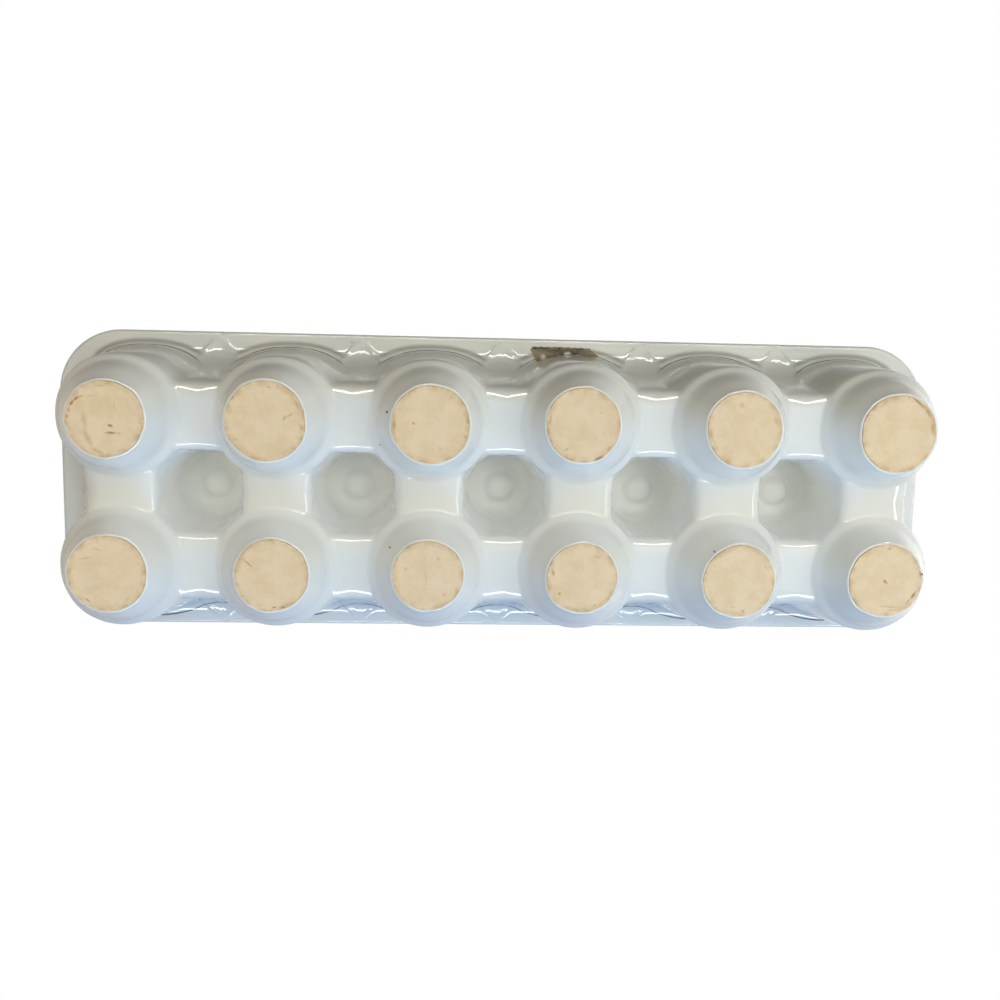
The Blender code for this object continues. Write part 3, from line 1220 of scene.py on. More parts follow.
@dataclass(frozen=True)
class FootLook:
    """How one foot differs: its drift from the cup's middle, its spread and its marks."""

    drift: tuple[float, float]
    spread: float
    marks: tuple[Mark, ...]

    WOBBLES: ClassVar[tuple[tuple[int, float], ...]] = (
        (2, 0.10),
        (3, 0.09),
        (5, 0.07),
        (8, 0.05),
        (13, 0.04),
    )

    def wiped(self, x: np.ndarray, y: np.ndarray, radius: float) -> tuple[np.ndarray, np.ndarray]:
        """Move places near the foot as its uneven wiped edge lies.

        Args:
            x: Distances from the cup's middle along X.
            y: Distances from the cup's middle along Y.
            radius: Radius of an even foot.

        Returns:
            The moved distances.
        """
        angle = np.arctan2(y, x)
        turn = math.tau * self.drift[0]
        wobble = sum(size * np.sin(count * (angle + turn)) for count, size in self.WOBBLES)
        grown = self.spread + wobble / radius
        return self.drift[0] + x * grown, self.drift[1] + y * grown


FOOT_LOOKS = {
    "foot_a1": FootLook((0.15, 0.4), 1.02, (
        Mark(-12.1, -0.6, 0.9, 0.5, 80.0, 0.9),
        Mark(-11.6, -2.7, 1.2, 0.4, -75.0, 0.8),
        Mark(-10.5, -5.2, 1.9, 0.7, -55.0, 1.0),
        Mark(-9.0, -6.7, 1.8, 0.7, -40.0, 1.0),
        Mark(-7.4, -7.4, 1.3, 0.4, -20.0, 0.6),
        Mark(2.0, 2.3, 1.5, 0.9, 10.0, 0.9),
        Mark(2.1, 4.8, 3.0, 0.6, 0.0, 0.9),
        Mark(4.8, 4.8, 1.8, 0.3, 0.0, 0.5),
        Mark(-6.6, 0.6, 6.0, 1.5, 85.0, 0.22),
        Mark(-5.6, 6.6, 6.0, 1.7, 65.0, 0.28),
        Mark(-2.6, 10.8, 4.0, 1.2, 25.0, 0.28),
        Mark(3.5, -4.6, 2.2, 0.3, 90.0, 0.30),
        Mark(-4.6, -7.6, 2.6, 0.4, -20.0, 0.28),
        Mark(-1.1, -11.2, 3.0, 0.5, -5.0, 0.35),
    )),
    "foot_a2": FootLook((-1.02, 0.24), 1.07, (
        Mark(-12.6, -4.4, 2.2, 0.6, -70.0, 0.9),
        Mark(-10.6, -7.4, 2.4, 0.5, -50.0, 0.7),
        Mark(1.4, -11.0, 1.4, 0.5, 20.0, 0.35),
        Mark(10.6, -5.6, 3.2, 0.9, 55.0, 0.40),
        Mark(6.4, -1.2, 1.6, 1.0, -60.0, 0.40),
        Mark(8.2, -2.2, 2.4, 0.7, -30.0, 0.30),
        Mark(11.6, 1.6, 2.0, 0.9, 80.0, 0.35),
        Mark(-9.4, 6.0, 0.8, 0.5, 0.0, 0.5),
    )),
    "foot_a3": FootLook((0.57, 0.41), 1.055, (
        Mark(-5.7, -0.4, 1.1, 0.6, 40.0, 0.6),
        Mark(-12.0, 0.4, 5.0, 0.9, 88.0, 0.40),
        Mark(6.4, -9.0, 1.3, 0.4, 40.0, 0.35),
        Mark(12.3, -1.6, 2.4, 0.9, 80.0, 0.45),
        Mark(11.4, 3.6, 0.9, 0.5, 60.0, 0.5),
        Mark(3.2, 7.8, 0.9, 0.5, 0.0, 0.35),
    )),
    "foot_a4": FootLook((-1.52, -0.4), 1.01, (
        Mark(5.6, 11.4, 3.0, 0.8, -28.0, 1.0),
        Mark(-5.8, 8.6, 1.6, 0.4, -35.0, 0.7),
        Mark(9.4, 7.8, 1.6, 0.5, -45.0, 0.5),
        Mark(-11.6, -2.0, 3.6, 0.7, -80.0, 0.35),
        Mark(6.2, -4.6, 1.2, 0.4, -30.0, 0.25),
    )),
    "foot_a5": FootLook((0.49, 0.19), 1.03, (
        Mark(-1.6, -8.6, 1.8, 1.3, 70.0, 0.28),
        Mark(10.6, -3.4, 2.6, 1.2, 70.0, 0.30),
        Mark(-12.0, 2.0, 3.0, 0.6, 85.0, 0.30),
    )),
    "foot_a6": FootLook((0.85, 0.62), 1.055, (
        Mark(6.0, -10.6, 5.4, 0.6, 38.0, 0.9),
        Mark(9.6, -7.4, 3.0, 0.7, 55.0, 0.6),
        Mark(11.6, -2.0, 3.4, 1.0, 80.0, 0.4),
        Mark(-9.2, -8.6, 2.2, 0.6, -45.0, 0.5),
    )),
    "foot_b1": FootLook((-0.42, -0.2), 1.04, (
        Mark(-7.1, -5.1, 3.0, 0.5, -15.0, 0.30),
        Mark(-3.2, -8.4, 2.4, 0.5, 20.0, 0.32),
        Mark(-6.6, 9.3, 2.2, 0.5, 40.0, 0.7),
        Mark(6.6, 8.6, 1.6, 0.5, -50.0, 0.35),
        Mark(10.6, -3.6, 1.2, 0.5, 60.0, 0.35),
    )),
    "foot_b2": FootLook((0.74, -0.11), 0.995, (
        Mark(-8.4, -4.6, 4.0, 0.5, 42.0, 0.65),
        Mark(1.0, 11.8, 1.4, 0.6, 0.0, 0.9),
        Mark(4.2, 11.6, 1.0, 0.6, -10.0, 0.9),
        Mark(-4.4, 10.8, 1.2, 0.4, 20.0, 0.4),
    )),
    "foot_b3": FootLook((0.13, -0.63), 0.97, (
        Mark(-8.1, -2.6, 1.3, 0.6, 40.0, 0.40),
        Mark(3.9, -6.6, 1.6, 0.9, 60.0, 0.28),
        Mark(-0.6, 1.0, 5.0, 0.6, 80.0, 0.16),
        Mark(6.2, 7.0, 1.2, 0.8, 0.0, 0.30),
    )),
    "foot_b4": FootLook((-0.34, -0.28), 0.975, (
        Mark(-10.8, -2.1, 2.4, 0.9, 75.0, 0.6),
        Mark(-8.1, 5.8, 1.2, 0.9, 30.0, 0.5),
        Mark(5.4, -8.2, 2.6, 0.4, 15.0, 0.40),
        Mark(5.0, 10.2, 0.8, 0.6, 0.0, 0.5),
    )),
    "foot_b5": FootLook((1.29, 0.18), 1.01, (
        Mark(9.4, -5.1, 1.0, 0.6, 50.0, 0.45),
        Mark(1.8, 11.0, 1.2, 0.7, 30.0, 0.5),
        Mark(-2.0, 9.6, 2.0, 0.6, 10.0, 0.22),
    )),
    "foot_b6": FootLook((-0.35, -0.65), 1.03, (
        Mark(-0.3, 0.3, 1.1, 0.9, 45.0, 1.0),
        Mark(0.4, 0.9, 0.8, 0.5, 45.0, 0.8),
        Mark(10.4, 5.2, 2.8, 0.7, -62.0, 1.0),
        Mark(8.6, 7.6, 2.0, 0.6, -50.0, 0.6),
        Mark(12.4, -2.6, 2.0, 0.5, 82.0, 0.8),
        Mark(1.9, 9.6, 7.0, 0.5, 2.0, 0.35),
        Mark(3.0, 10.8, 4.0, 0.4, -4.0, 0.35),
        Mark(0.6, -11.4, 1.2, 0.7, 0.0, 0.45),
    )),
}


@dataclass(frozen=True)
class ChipFinish:
    """Stained clay where the glaze has come off, with dark streaks and two pale grains."""

    stain: Colour = (0.37, 0.310, 0.185)
    dark: Colour = (0.085, 0.062, 0.030)
    black: Colour = (0.020, 0.016, 0.010)
    grain: Colour = (1.0, 0.97, 0.90)
    cloud: Noise = Noise(1.4, 4.0, 0.65)
    cloud_floor: float = 0.30
    flecks: Noise = Noise(1.5, 5.0, 0.75, 0.55, 0.63)
    flecked: float = 0.85
    pits: Noise = Noise(1.0, 4.0, 0.7)
    relief: float = 0.25
    roughness: float = 0.75

    def build(self) -> bpy.types.Material:
        """Make the chipped patch's material.

        Returns:
            The material.
        """
        nodes = MaterialGraph("stained_clay")
        cloud = nodes.combine("ADD", nodes.noise(self.cloud), self.cloud_floor)
        colour = nodes.mix(nodes.times(nodes.attribute("dark"), cloud), self.stain, self.dark)
        colour = nodes.mix(nodes.times(nodes.patches(self.flecks), self.flecked), colour, self.dark)
        colour = nodes.mix(nodes.attribute("black"), colour, self.black)
        colour = nodes.mix(nodes.attribute("grain"), colour, self.grain)
        nodes.shade("Base Color", colour)
        nodes.shade("Roughness", self.roughness)
        nodes.bump(nodes.noise(self.pits), self.relief)
        return nodes.material


class GlazeChip:
    """A patch under the rim where the glaze has come off, laid on the casting's underside.

    TOP and BOTTOM are its edges in plan, and RAGGED gives the waves along them. Where the lower edge would
    lie more than REACH under the rim's face, it is drawn back by PULL at a time.
    """

    STATIONS = 120
    STEPS = 28
    LIFT = (0.0, -0.07, -0.07)
    REACH = 7.0
    PULLS = 30
    PULL = 0.1
    COLUMN = 2
    TOP = ((11.4, -54.9), (12.3, -55.9), (23.0, -56.0), (35.6, -55.6), (36.6, -54.6), (39.2, -52.7))
    BOTTOM = (
        (11.4, -54.7),
        (12.8, -51.9),
        (14.0, -49.6),
        (16.6, -50.2),
        (20.1, -50.8),
        (22.6, -52.7),
        (30.5, -53.0),
        (33.3, -52.3),
        (39.2, -52.2),
    )
    RAGGED = ((2.3, 0.13), (5.1, 0.10), (11.7, 0.07))
    STREAKS = {
        "dark": (
            Mark(25.5, -54.5, 19.0, 2.4, 0.0, 1.0),
            Mark(15.5, -55.3, 6.0, 1.2, 0.0, 0.9),
            Mark(36.2, -53.0, 5.0, 0.8, 12.0, 0.6),
        ),
        "black": (
            Mark(13.3, -55.3, 1.9, 0.7, -12.0, 0.9),
            Mark(17.5, -55.2, 2.2, 0.5, 5.0, 0.7),
            Mark(23.0, -55.6, 1.6, 0.7, 55.0, 0.9),
            Mark(21.2, -51.5, 2.6, 0.6, -48.0, 0.9),
            Mark(24.0, -53.1, 2.6, 0.6, 0.0, 0.8),
            Mark(29.0, -53.5, 3.4, 0.6, -4.0, 0.8),
            Mark(31.6, -55.4, 4.2, 0.5, 0.0, 0.7),
            Mark(16.2, -52.3, 1.8, 0.4, -30.0, 0.6),
        ),
        "grain": (
            Mark(16.5, -51.4, 2.6, 1.8, 105.0, 1.0),
            Mark(26.3, -53.4, 2.6, 1.2, -10.0, 1.0),
        ),
    }

    def __init__(self, layout: Layout, sizes: CastingSizes, grid: GridSizes) -> None:
        """Take the cell whose mirror image carries the patch."""
        self.cell = CupCell(layout, sizes, grid, self.COLUMN)

    def levels(self, x: np.ndarray, y: np.ndarray) -> np.ndarray:
        """Levels of the casting's underside over the mirrored cell."""
        return self.cell.heights(-x - self.cell.centre_x, y - self.cell.centre_y, Skin.UNDERSIDE)

    def build(self, clay: bpy.types.Material) -> Piece:
        """Lay a grid over the patch and paint its streaks.

        Args:
            clay: Material of the stained clay.

        Returns:
            The patch.
        """
        deselect_all()
        bpy.ops.mesh.primitive_grid_add(x_subdivisions=self.STATIONS, y_subdivisions=self.STEPS)
        patch = bpy.context.object
        name_piece(patch, "glaze_chip")
        # A new grid reaches 1 m from its middle both ways.
        along, down = (read_points(patch.data)[:, :2] * MM + 1.0).T / 2
        x = self.TOP[0][0] + (self.TOP[-1][0] - self.TOP[0][0]) * along
        ragged = sum(size * np.sin(count * x) for count, size in self.RAGGED)
        top = np.interp(x, *zip(*self.TOP)) + ragged
        bottom = np.maximum(np.interp(x, *zip(*self.BOTTOM)) - ragged, top)
        for _ in range(self.PULLS):
            deep = self.levels(x, bottom) < self.cell.flange - self.REACH
            bottom = np.where(deep, np.maximum(bottom - self.PULL, top), bottom)
        y = top + (bottom - top) * down
        z = self.levels(x, y)
        patch.data.flip_normals()
        write_points(patch.data, np.column_stack([x, y, z]) + np.array(self.LIFT))
        for name, marks in self.STREAKS.items():
            paint(patch.data, name, cover_all(marks, x, y))
        bpy.ops.object.shade_smooth()
        patch.data.materials.append(clay)
        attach(patch, BODY)
        return patch


class ClayFeet:
    """The bare clay feet, each a disc with an uneven edge set in the bottom of its cup."""

    SIDES = 160
    RINGS = 34
    EDGE_BAND = 2.2
    INSET = 0.02
    SMOOTH_ANGLE = 40.0

    def __init__(self, layout: Layout) -> None:
        """Keep the layout that the feet are sized from."""
        self.layout = layout

    def build(self, clay: bpy.types.Material) -> list[Piece]:
        """Model, mark and dress every foot.

        Args:
            clay: Material of the bare clay.

        Returns:
            The feet, in order.
        """
        feet = []
        for name in foot_names():
            foot = self.disc(f"clay_{name}")
            self.shape(foot, name)
            foot.data.materials.append(clay)
            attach(foot, BODY)
            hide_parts(name)
            feet.append(foot)
        return feet

    def disc(self, name: str) -> Piece:
        """Model a thick disc whose underside is divided into fine rings.

        Args:
            name: Name of the disc.

        Returns:
            The disc, at the origin.
        """
        disc = ringed_disc(name, (self.layout.foot_radius - self.INSET) * MM, self.SIDES, self.RINGS)
        bpy.ops.object.modifier_add(type="SOLIDIFY")
        solidify = disc.modifiers[-1]
        solidify.thickness = self.layout.foot_thickness * MM
        solidify.offset = 1.0
        apply_modifiers(disc)
        bpy.ops.object.shade_smooth_by_angle(angle=math.radians(self.SMOOTH_ANGLE))
        return disc

    def shape(self, foot: Piece, name: str) -> None:
        """Set the disc under its cup with an uneven edge, and paint its edge and its marks.

        Args:
            foot: The disc.
            name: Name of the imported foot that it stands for.
        """
        look = FOOT_LOOKS[name]
        mesh = foot.data
        points = read_points(mesh)
        x, y = points[:, :2].T.copy()
        centre = node_centre(name)
        wiped_x, wiped_y = look.wiped(x, y, self.layout.foot_radius)
        points[:, 0] = centre.x + wiped_x
        points[:, 1] = centre.y + wiped_y
        write_points(mesh, points)
        inwards = self.layout.foot_radius - np.hypot(x, y)
        paint(mesh, "soot", cover_all(look.marks, x, y))
        paint(mesh, "edge", np.clip(1.0 - inwards / self.EDGE_BAND, 0.0, 1.0))


class PostBumps:
    """Round bumps under the hollow posts, each a disc drawn down from the ceiling.

    REACH is a disc's radius in radii of the dome, and LIFT is how far the disc lies under the ceiling.
    """

    SIDES = 72
    RINGS = 18
    REACH = 1.25
    LIFT = 0.06
    COLUMN = 1

    def __init__(self, layout: Layout, sizes: CastingSizes, grid: GridSizes) -> None:
        """Keep the sizes, and a cell whose corner is a post.

        Args:
            layout: Places of the cups and the rim.
            sizes: Sizes of the casting.
            grid: How finely the skins are divided.
        """
        self.layout = layout
        self.sizes = sizes
        self.cell = CupCell(layout, sizes, grid, self.COLUMN)

    def build(self) -> list[Piece]:
        """Model the bump under every post.

        Returns:
            The bumps, from the low end.
        """
        bumps = []
        posts = self.layout.columns - 1
        for index in range(posts):
            radius = self.sizes.dome_radius * self.REACH * MM
            bump = ringed_disc(f"bump_{index}", radius, self.SIDES, self.RINGS)
            self.shape(bump, (index - (posts - 1) / 2) * self.layout.pitch_x)
            bumps.append(bump)
        return bumps

    def shape(self, bump: Piece, post_x: float) -> None:
        """Draw the disc down to a round bump that runs out into the ceiling.

        Args:
            bump: The disc.
            post_x: Middle of the post along X.
        """
        s = self.sizes
        points = read_points(bump.data)
        x, y = points[:, :2].T.copy()
        u = self.cell.east_reach - np.abs(x)
        v = self.cell.north_reach - np.abs(y)
        ceiling = self.cell.heights(u, v, Skin.UNDERSIDE)
        level = self.layout.height - s.post_drop - s.wall
        radius = (s.dome_radius**2 + s.dome_depth**2) / (2 * s.dome_depth)
        ball = level - s.dome_depth + radius - np.sqrt(np.maximum(radius**2 - x**2 - y**2, 0.0))
        share = np.clip(0.5 + (ceiling - ball) / (2 * s.dome_blend), 0.0, 1.0)
        blended = ceiling + (ball - ceiling) * share - s.dome_blend * share * (1.0 - share)
        points[:, 0] += post_x
        points[:, 2] = blended - self.LIFT
        bump.data.flip_normals()
        write_points(bump.data, points)
        select_only(bump)
        bpy.ops.object.shade_smooth()


class CreasePaint:
    """Paint in the crease under the rim: a dark line, a dull strip, and painted shade along one long side.

    Places, shifts and the two ends of each fade are in millimetres.
    """

    FADE = 8.0
    LAND_FADE = (19.0, 23.0)
    TIP_FADE = (25.5, 30.5)
    END_FADE = (12.0, 18.0)
    RIM_BAND = (34.0, 38.0)
    DULL_PLACE = 1.2
    DULL_FADE = (1.4, 2.8)
    RIM_SHIFT = 4.0
    TIP_SHIFT = 0.9
    TIP_RISE = (17.0, 26.0)
    END_RISE = 0.5
    CLOSE_SHIFT = 1.6

    def __init__(self, layout: Layout, mesh: bpy.types.Mesh) -> None:
        """Measure where each point lies from the cups, the lands and the ends.

        Args:
            layout: Places of the cups and the rim.
            mesh: Mesh of the casting.
        """
        self.mesh = mesh
        self.wall, self.cup, self.close = (read_paint(mesh, name) for name in CupCell.CREASES)
        x, y = read_points(mesh)[:, :2].T
        row = layout.pitch_y / 2
        column = x / layout.pitch_x - 0.5
        self.off_middle = np.abs(y)
        self.off_row = np.abs(self.off_middle - row)
        self.off_column = np.abs(column - np.round(column)) * layout.pitch_x
        self.beyond = np.abs(x) - layout.half_length + layout.end_margin
        self.shaded = smooth_step(y, -row, -row - self.FADE)
        self.off_land = 1.0 - smooth_step(self.off_column, *self.LAND_FADE)
        self.at_end = smooth_step(self.beyond, *self.END_FADE)

    def line(self) -> np.ndarray:
        """Distance of each point from the path of the painted dark line.

        Returns:
            Distances, negative towards the walls.
        """
        end_rise = self.END_RISE * smooth_step(self.off_row, *self.TIP_RISE)
        to_tip = np.where(self.beyond > 0.0, end_rise, smooth_step(self.off_column, *self.TIP_RISE))
        outer = self.wall - self.RIM_SHIFT + (self.RIM_SHIFT - self.TIP_SHIFT) * to_tip
        return outer + (self.close - self.CLOSE_SHIFT - outer) * self.shaded

    def line_cover(self) -> np.ndarray:
        """How much of the line shows at each point.

        Returns:
            Shares from 0 to 1.
        """
        off_tip = 1.0 - smooth_step(self.off_column, *self.TIP_FADE)
        beside = smooth_step(self.off_middle, *self.RIM_BAND)
        along = beside * (off_tip + (self.off_land - off_tip) * self.shaded)
        return np.maximum(along, self.at_end)

    def dull(self) -> np.ndarray:
        """How dull the glaze is at each point.

        Returns:
            Shares from 0 to 1.
        """
        crease = self.wall + (self.cup - self.wall) * self.shaded
        near = 1.0 - smooth_step(np.abs(crease - self.DULL_PLACE), *self.DULL_FADE)
        return near * np.maximum(self.shaded * self.off_land, self.at_end)

    def apply(self) -> None:
        """Paint the mesh, and take off the measures that the paint was worked out from."""
        paint(self.mesh, "dull", self.dull())
        paint(self.mesh, "crease", self.line())
        paint(self.mesh, "creased", self.line_cover())
        paint(self.mesh, "shade", self.cup)
        paint(self.mesh, "shaded", self.shaded * self.off_land)
        for name in CupCell.CREASES:
            self.mesh.attributes.remove(self.mesh.attributes[name])


class TrayCasting:
    """The glazed casting, drawn as one quarter and mirrored."""

    WELD = 2e-5

    def __init__(self, layout: Layout, sizes: CastingSizes, grid: GridSizes) -> None:
        """Keep the sizes that the casting is drawn from.

        Args:
            layout: Places of the cups and the rim.
            sizes: Sizes of the casting.
            grid: How finely the skins are divided.
        """
        self.layout = layout
        self.sizes = sizes
        self.grid = grid

    def build(self) -> Piece:
        """Draw both skins of a quarter, mirror them and close the rim.

        Returns:
            The casting as one closed mesh.
        """
        patches = []
        for column in range(self.layout.columns // 2):
            cell = CupCell(self.layout, self.sizes, self.grid, column)
            patches.extend(cell.wrap(skin) for skin in Skin)
        select_only(*patches)
        bpy.ops.object.join()
        body = bpy.context.object
        name_piece(body, "glazed_casting")
        self.mirror(body)
        self.close(body)
        select_only(body, *PostBumps(self.layout, self.sizes, self.grid).build())
        bpy.ops.object.join()
        CreasePaint(self.layout, body.data).apply()
        self.drift(body)
        return body

    def drift(self, body: Piece) -> None:
        """Move and spread the glaze round each foot as the wiped foot did.

        Args:
            body: The casting.
        """
        s = self.sizes
        mesh = body.data
        points = read_points(mesh)
        below = points[:, 2] < s.shoulder_level
        for name, look in FOOT_LOOKS.items():
            centre = node_centre(name)
            x = points[:, 0] - centre.x
            y = points[:, 1] - centre.y
            share = smooth_step(np.hypot(x, y), s.ledge_radius, s.cup_foot_radius)
            share = np.where(below, share, 0.0)
            wiped_x, wiped_y = look.wiped(x, y, self.layout.foot_radius)
            points[:, 0] += share * (wiped_x - x)
            points[:, 1] += share * (wiped_y - y)
        write_points(mesh, points)

    def mirror(self, body: Piece) -> None:
        """Mirror the quarter along and across the tray.

        Args:
            body: The casting.
        """
        select_only(body)
        bpy.ops.object.modifier_add(type="MIRROR")
        mirror = body.modifiers[-1]
        mirror.use_axis = (True, True, False)
        mirror.merge_threshold = self.WELD
        apply_modifiers(body)

    def close(self, body: Piece) -> None:
        """Weld the seams, bridge the two skins round the rim and turn the faces outwards.

        Args:
            body: The casting.
        """
        select_only(body)
        bpy.ops.object.mode_set(mode="EDIT")
        bpy.ops.mesh.select_mode(type="VERT")
        bpy.ops.mesh.select_all(action="SELECT")
        bpy.ops.mesh.remove_doubles(threshold=self.WELD)
        bpy.ops.mesh.select_all(action="DESELECT")
        bpy.ops.mesh.select_mode(type="EDGE")
        bpy.ops.mesh.select_non_manifold()
        bpy.ops.mesh.bridge_edge_loops()
        bpy.ops.mesh.select_all(action="SELECT")
        bpy.ops.mesh.normals_make_consistent(inside=False)
        bpy.ops.mesh.quads_convert_to_tris(quad_method="SHORTEST_DIAGONAL")
        bpy.ops.object.mode_set(mode="OBJECT")
        bpy.ops.object.shade_smooth()

    def dress(self, body: Piece, glaze: bpy.types.Material) -> None:
        """Give the casting its glaze and set it on the frame.

        Args:
            body: The casting.
            glaze: Material of the glaze.
        """
        body.data.materials.append(glaze)
        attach(body, BODY)
        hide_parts("tray_body")


class LampRole(Enum):
    """What a lamp of the studio is for."""

    FILL = "lights the surfaces without showing in the glaze"
    GLINT = "shows in the glaze only"


@dataclass(frozen=True)
class Lamp:
    """A lamp of the studio, in metres and watts."""

    name: str
    role: LampRole
    place: tuple[float, float, float]
    size: tuple[float, float]
    power: float
    colour: Colour

    def build(self) -> Piece:
        """Add the lamp, aim it at the tray and let it be seen as its role asks.

        Returns:
            The lamp.
        """
        deselect_all()
        bpy.ops.object.light_add(type="AREA", location=self.place)
        lamp = bpy.context.object
        lamp.name = self.name
        lamp.data.shape = "RECTANGLE"
        lamp.data.size, lamp.data.size_y = self.size
        lamp.data.energy = self.power
        lamp.data.color = self.colour
        lamp.rotation_euler = (-Vector(self.place)).to_track_quat("-Z", "Y").to_euler()
        lamp.visible_camera = False
        lamp.visible_glossy = self.role is LampRole.GLINT
        lamp.visible_diffuse = self.role is LampRole.FILL
        return lamp


@dataclass(frozen=True)
class Glow:
    """A broad light of the room: its tilt from straight below and its bearing from +X, in degrees."""

    name: str
    tilt: float
    bearing: float
    sharpness: float
    colour: Colour

    @property
    def towards(self) -> Vector:
        """Direction that the glow is seen in."""
        tilt, bearing = math.radians(self.tilt), math.radians(self.bearing)
        across = math.sin(tilt)
        return Vector((across * math.cos(bearing), across * math.sin(bearing), -math.cos(tilt)))

    def build(self, graph: Graph, direction: Socket) -> Socket:
        """Add the glow's nodes.

        Args:
            graph: Nodes of the surround.
            direction: Socket that gives the direction looked in.

        Returns:
            Socket that gives the glow's light.
        """
        facing = graph.vectors("DOT_PRODUCT", direction, self.towards).outputs["Value"]
        lobe = graph.combine("POWER", graph.combine("MAXIMUM", facing, 0.0), self.sharpness)
        light = graph.add("VectorMath", operation="SCALE", label=self.name)
        graph.feed(light.inputs[0], self.colour)
        graph.feed(light.inputs["Scale"], lobe)
        return light.outputs["Vector"]


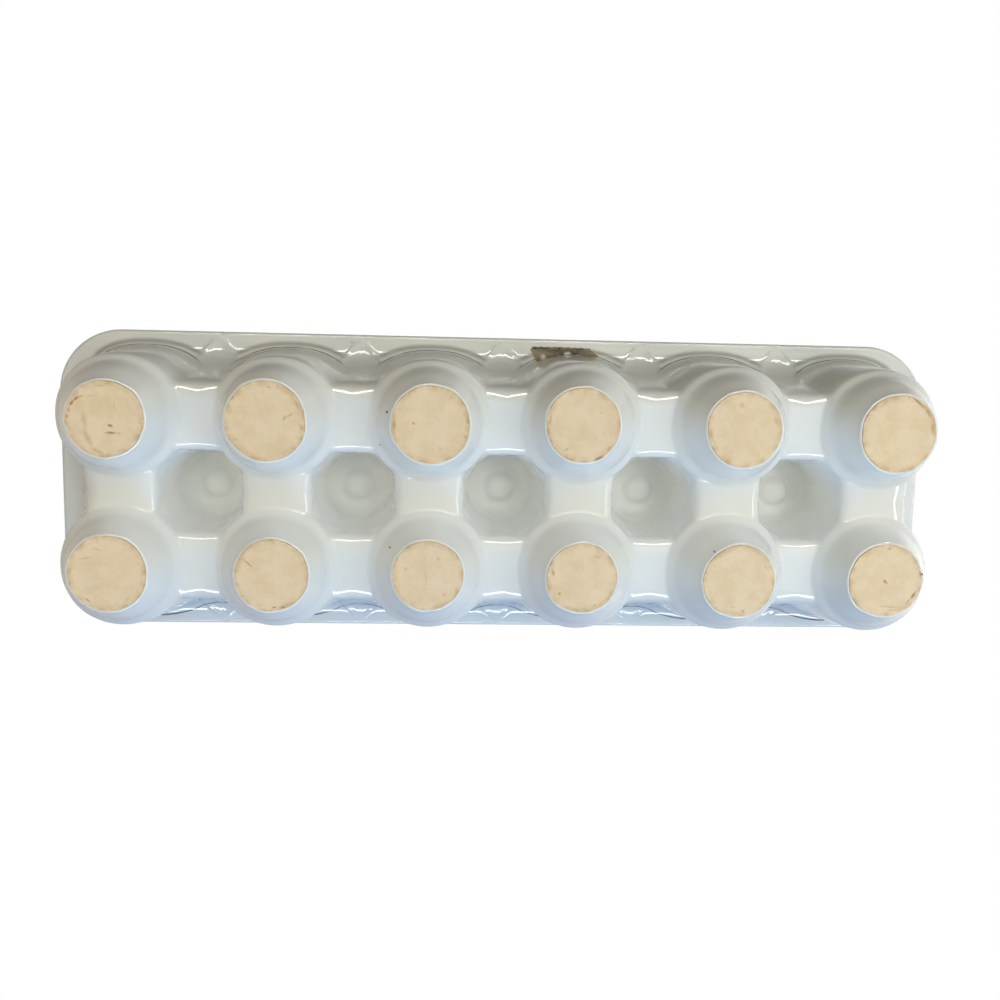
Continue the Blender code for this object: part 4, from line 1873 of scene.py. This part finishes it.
class Studio:
    """Pale floor, soft lamps, white surround and the camera under the tray."""

    FLOOR_SIZE = 6.0
    FLOOR_COLOUR = (0.82, 0.82, 0.81)
    FLOOR_ROUGHNESS = 0.7
    WHITE = (1.0, 1.0, 1.0)
    CAMERA_PLACE = (-0.0230, -0.04861, -0.36166)
    CAMERA_RIGHT = (0.99833, -0.02182, -0.05350)
    CAMERA_UP = (-0.01461, -0.99119, 0.13167)
    LENS = 37.02
    SENSOR = 36.0
    LAMPS = (
        Lamp("north_glint", LampRole.GLINT, (0.08, -0.80, -0.62), (1.00, 0.10), 8.0, (1.0, 0.98, 0.94)),
        Lamp("south_glint", LampRole.GLINT, (0.08, 0.85, -0.55), (1.00, 0.10), 8.0, (0.88, 0.95, 1.0)),
        Lamp("east_glint", LampRole.GLINT, (0.85, 0.00, -0.60), (0.30, 0.08), 1.6, (1.0, 0.98, 0.95)),
        Lamp("overhead_key", LampRole.FILL, (0.05, 0.62, 1.10), (0.50, 0.50), 9.0, (1.0, 0.99, 0.97)),
        Lamp("east_fill", LampRole.FILL, (0.50, 0.00, -0.28), (0.30, 0.30), 0.15, (0.00, 0.56, 1.00)),
        Lamp("south_fill", LampRole.FILL, (0.00, 0.45, -0.28), (0.30, 0.30), 0.95, (0.09, 0.45, 1.00)),
        Lamp("near_fill", LampRole.FILL, (-0.02, -0.05, -0.45), (0.30, 0.30), 0.24, (0.77, 1.00, 0.69)),
        Lamp("west_end_fill", LampRole.FILL, (-0.26, 0.02, -0.30), (0.20, 0.20), 0.29, (1.00, 0.86, 0.69)),
        Lamp("east_end_fill", LampRole.FILL, (0.26, 0.02, -0.30), (0.20, 0.20), 0.45, (1.00, 0.96, 0.85)),
    )
    GLOWS = (
        Glow("below_south_east", 20.0, 45.0, 40.0, (0.51, 0.53, 0.55)),
        Glow("below_north", 20.0, 270.0, 40.0, (0.37, 0.34, 0.28)),
        Glow("below_north_east", 20.0, 315.0, 40.0, (1.67, 1.65, 1.60)),
        Glow("low_north", 42.0, 270.0, 22.0, (1.05, 0.95, 0.79)),
        Glow("low_north_east", 42.0, 315.0, 22.0, (1.29, 1.26, 1.14)),
        Glow("side_south", 65.0, 90.0, 14.0, (0.92, 0.95, 0.99)),
        Glow("level_east", 95.0, 0.0, 8.0, (0.79, 0.81, 0.79)),
        Glow("over_east", 130.0, 0.0, 4.0, (1.26, 1.24, 1.19)),
        Glow("over_south", 130.0, 90.0, 4.0, (0.39, 0.37, 0.38)),
        Glow("over_west", 130.0, 180.0, 4.0, (0.69, 0.62, 0.52)),
    )

    def build(self) -> None:
        """Set up the floor, lamps, surround and camera."""
        self.floor()
        for lamp in self.LAMPS:
            lamp.build()
        self.surround()
        self.camera()
        bpy.context.scene.view_settings.view_transform = "Standard"

    def floor(self) -> Piece:
        """Lay a pale floor that only shows from above, so that the feet can be seen from below.

        Returns:
            The floor.
        """
        deselect_all()
        bpy.ops.mesh.primitive_plane_add(size=self.FLOOR_SIZE)
        floor = bpy.context.object
        floor.name = "floor"
        nodes = MaterialGraph("pale_floor")
        nodes.shade("Base Color", self.FLOOR_COLOUR)
        nodes.shade("Roughness", self.FLOOR_ROUGHNESS)
        mix = nodes.add("MixShader")
        nodes.feed(mix.inputs["Fac"], nodes.add("NewGeometry").outputs["Backfacing"])
        nodes.feed(mix.inputs[1], nodes.shader.outputs["BSDF"])
        nodes.feed(mix.inputs[2], nodes.add("BsdfTransparent").outputs["BSDF"])
        nodes.feed(nodes.tree.nodes["Material Output"].inputs["Surface"], mix.outputs["Shader"])
        floor.data.materials.append(nodes.material)
        floor.visible_shadow = False
        floor.visible_diffuse = False
        floor.visible_glossy = False
        return floor

    def surround(self) -> None:
        """White surround for the eye, and the room's glows for the light."""
        world = bpy.data.worlds.new("studio")
        bpy.context.scene.world = world
        world.use_nodes = True
        graph = Graph(world.node_tree)
        direction = graph.add("TexCoord").outputs["Generated"]
        total, *others = (glow.build(graph, direction) for glow in self.GLOWS)
        for light in others:
            total = graph.vectors("ADD", total, light).outputs["Vector"]
        seen = graph.mix(graph.add("LightPath").outputs["Is Camera Ray"], total, self.WHITE)
        graph.feed(graph.tree.nodes["Background"].inputs["Color"], seen)

    def camera(self) -> None:
        """Put the camera where the photograph was taken from, looking up at the feet."""
        right = Vector(self.CAMERA_RIGHT).normalized()
        up = Vector(self.CAMERA_UP)
        up = (up - right * up.dot(right)).normalized()
        turn = Matrix((right, up, right.cross(up))).transposed().to_4x4()
        deselect_all()
        bpy.ops.object.camera_add()
        camera = bpy.context.object
        camera.matrix_world = Matrix.Translation(self.CAMERA_PLACE) @ turn
        camera.data.lens = self.LENS
        camera.data.sensor_width = self.SENSOR
        camera.data.clip_start = MM
        bpy.context.scene.camera = camera


def main() -> None:
    """Build the tray's pieces in order, then the studio."""
    logging.basicConfig(level=logging.INFO, format="%(message)s")
    layout = Layout.from_frame()
    sizes = CastingSizes()
    grid = GridSizes()
    casting = TrayCasting(layout, sizes, grid)
    body = casting.build()
    casting.dress(body, GlazeFinish().build())
    LOG.info("%s: %d faces", body.name, len(body.data.polygons))
    chip = GlazeChip(layout, sizes, grid).build(ChipFinish().build())
    LOG.info("%s: %d faces", chip.name, len(chip.data.polygons))
    for foot in ClayFeet(layout).build(ClayFinish().build()):
        LOG.info("%s: %d faces", foot.name, len(foot.data.polygons))
    Studio().build()


if __name__ == "__main__":
    main()
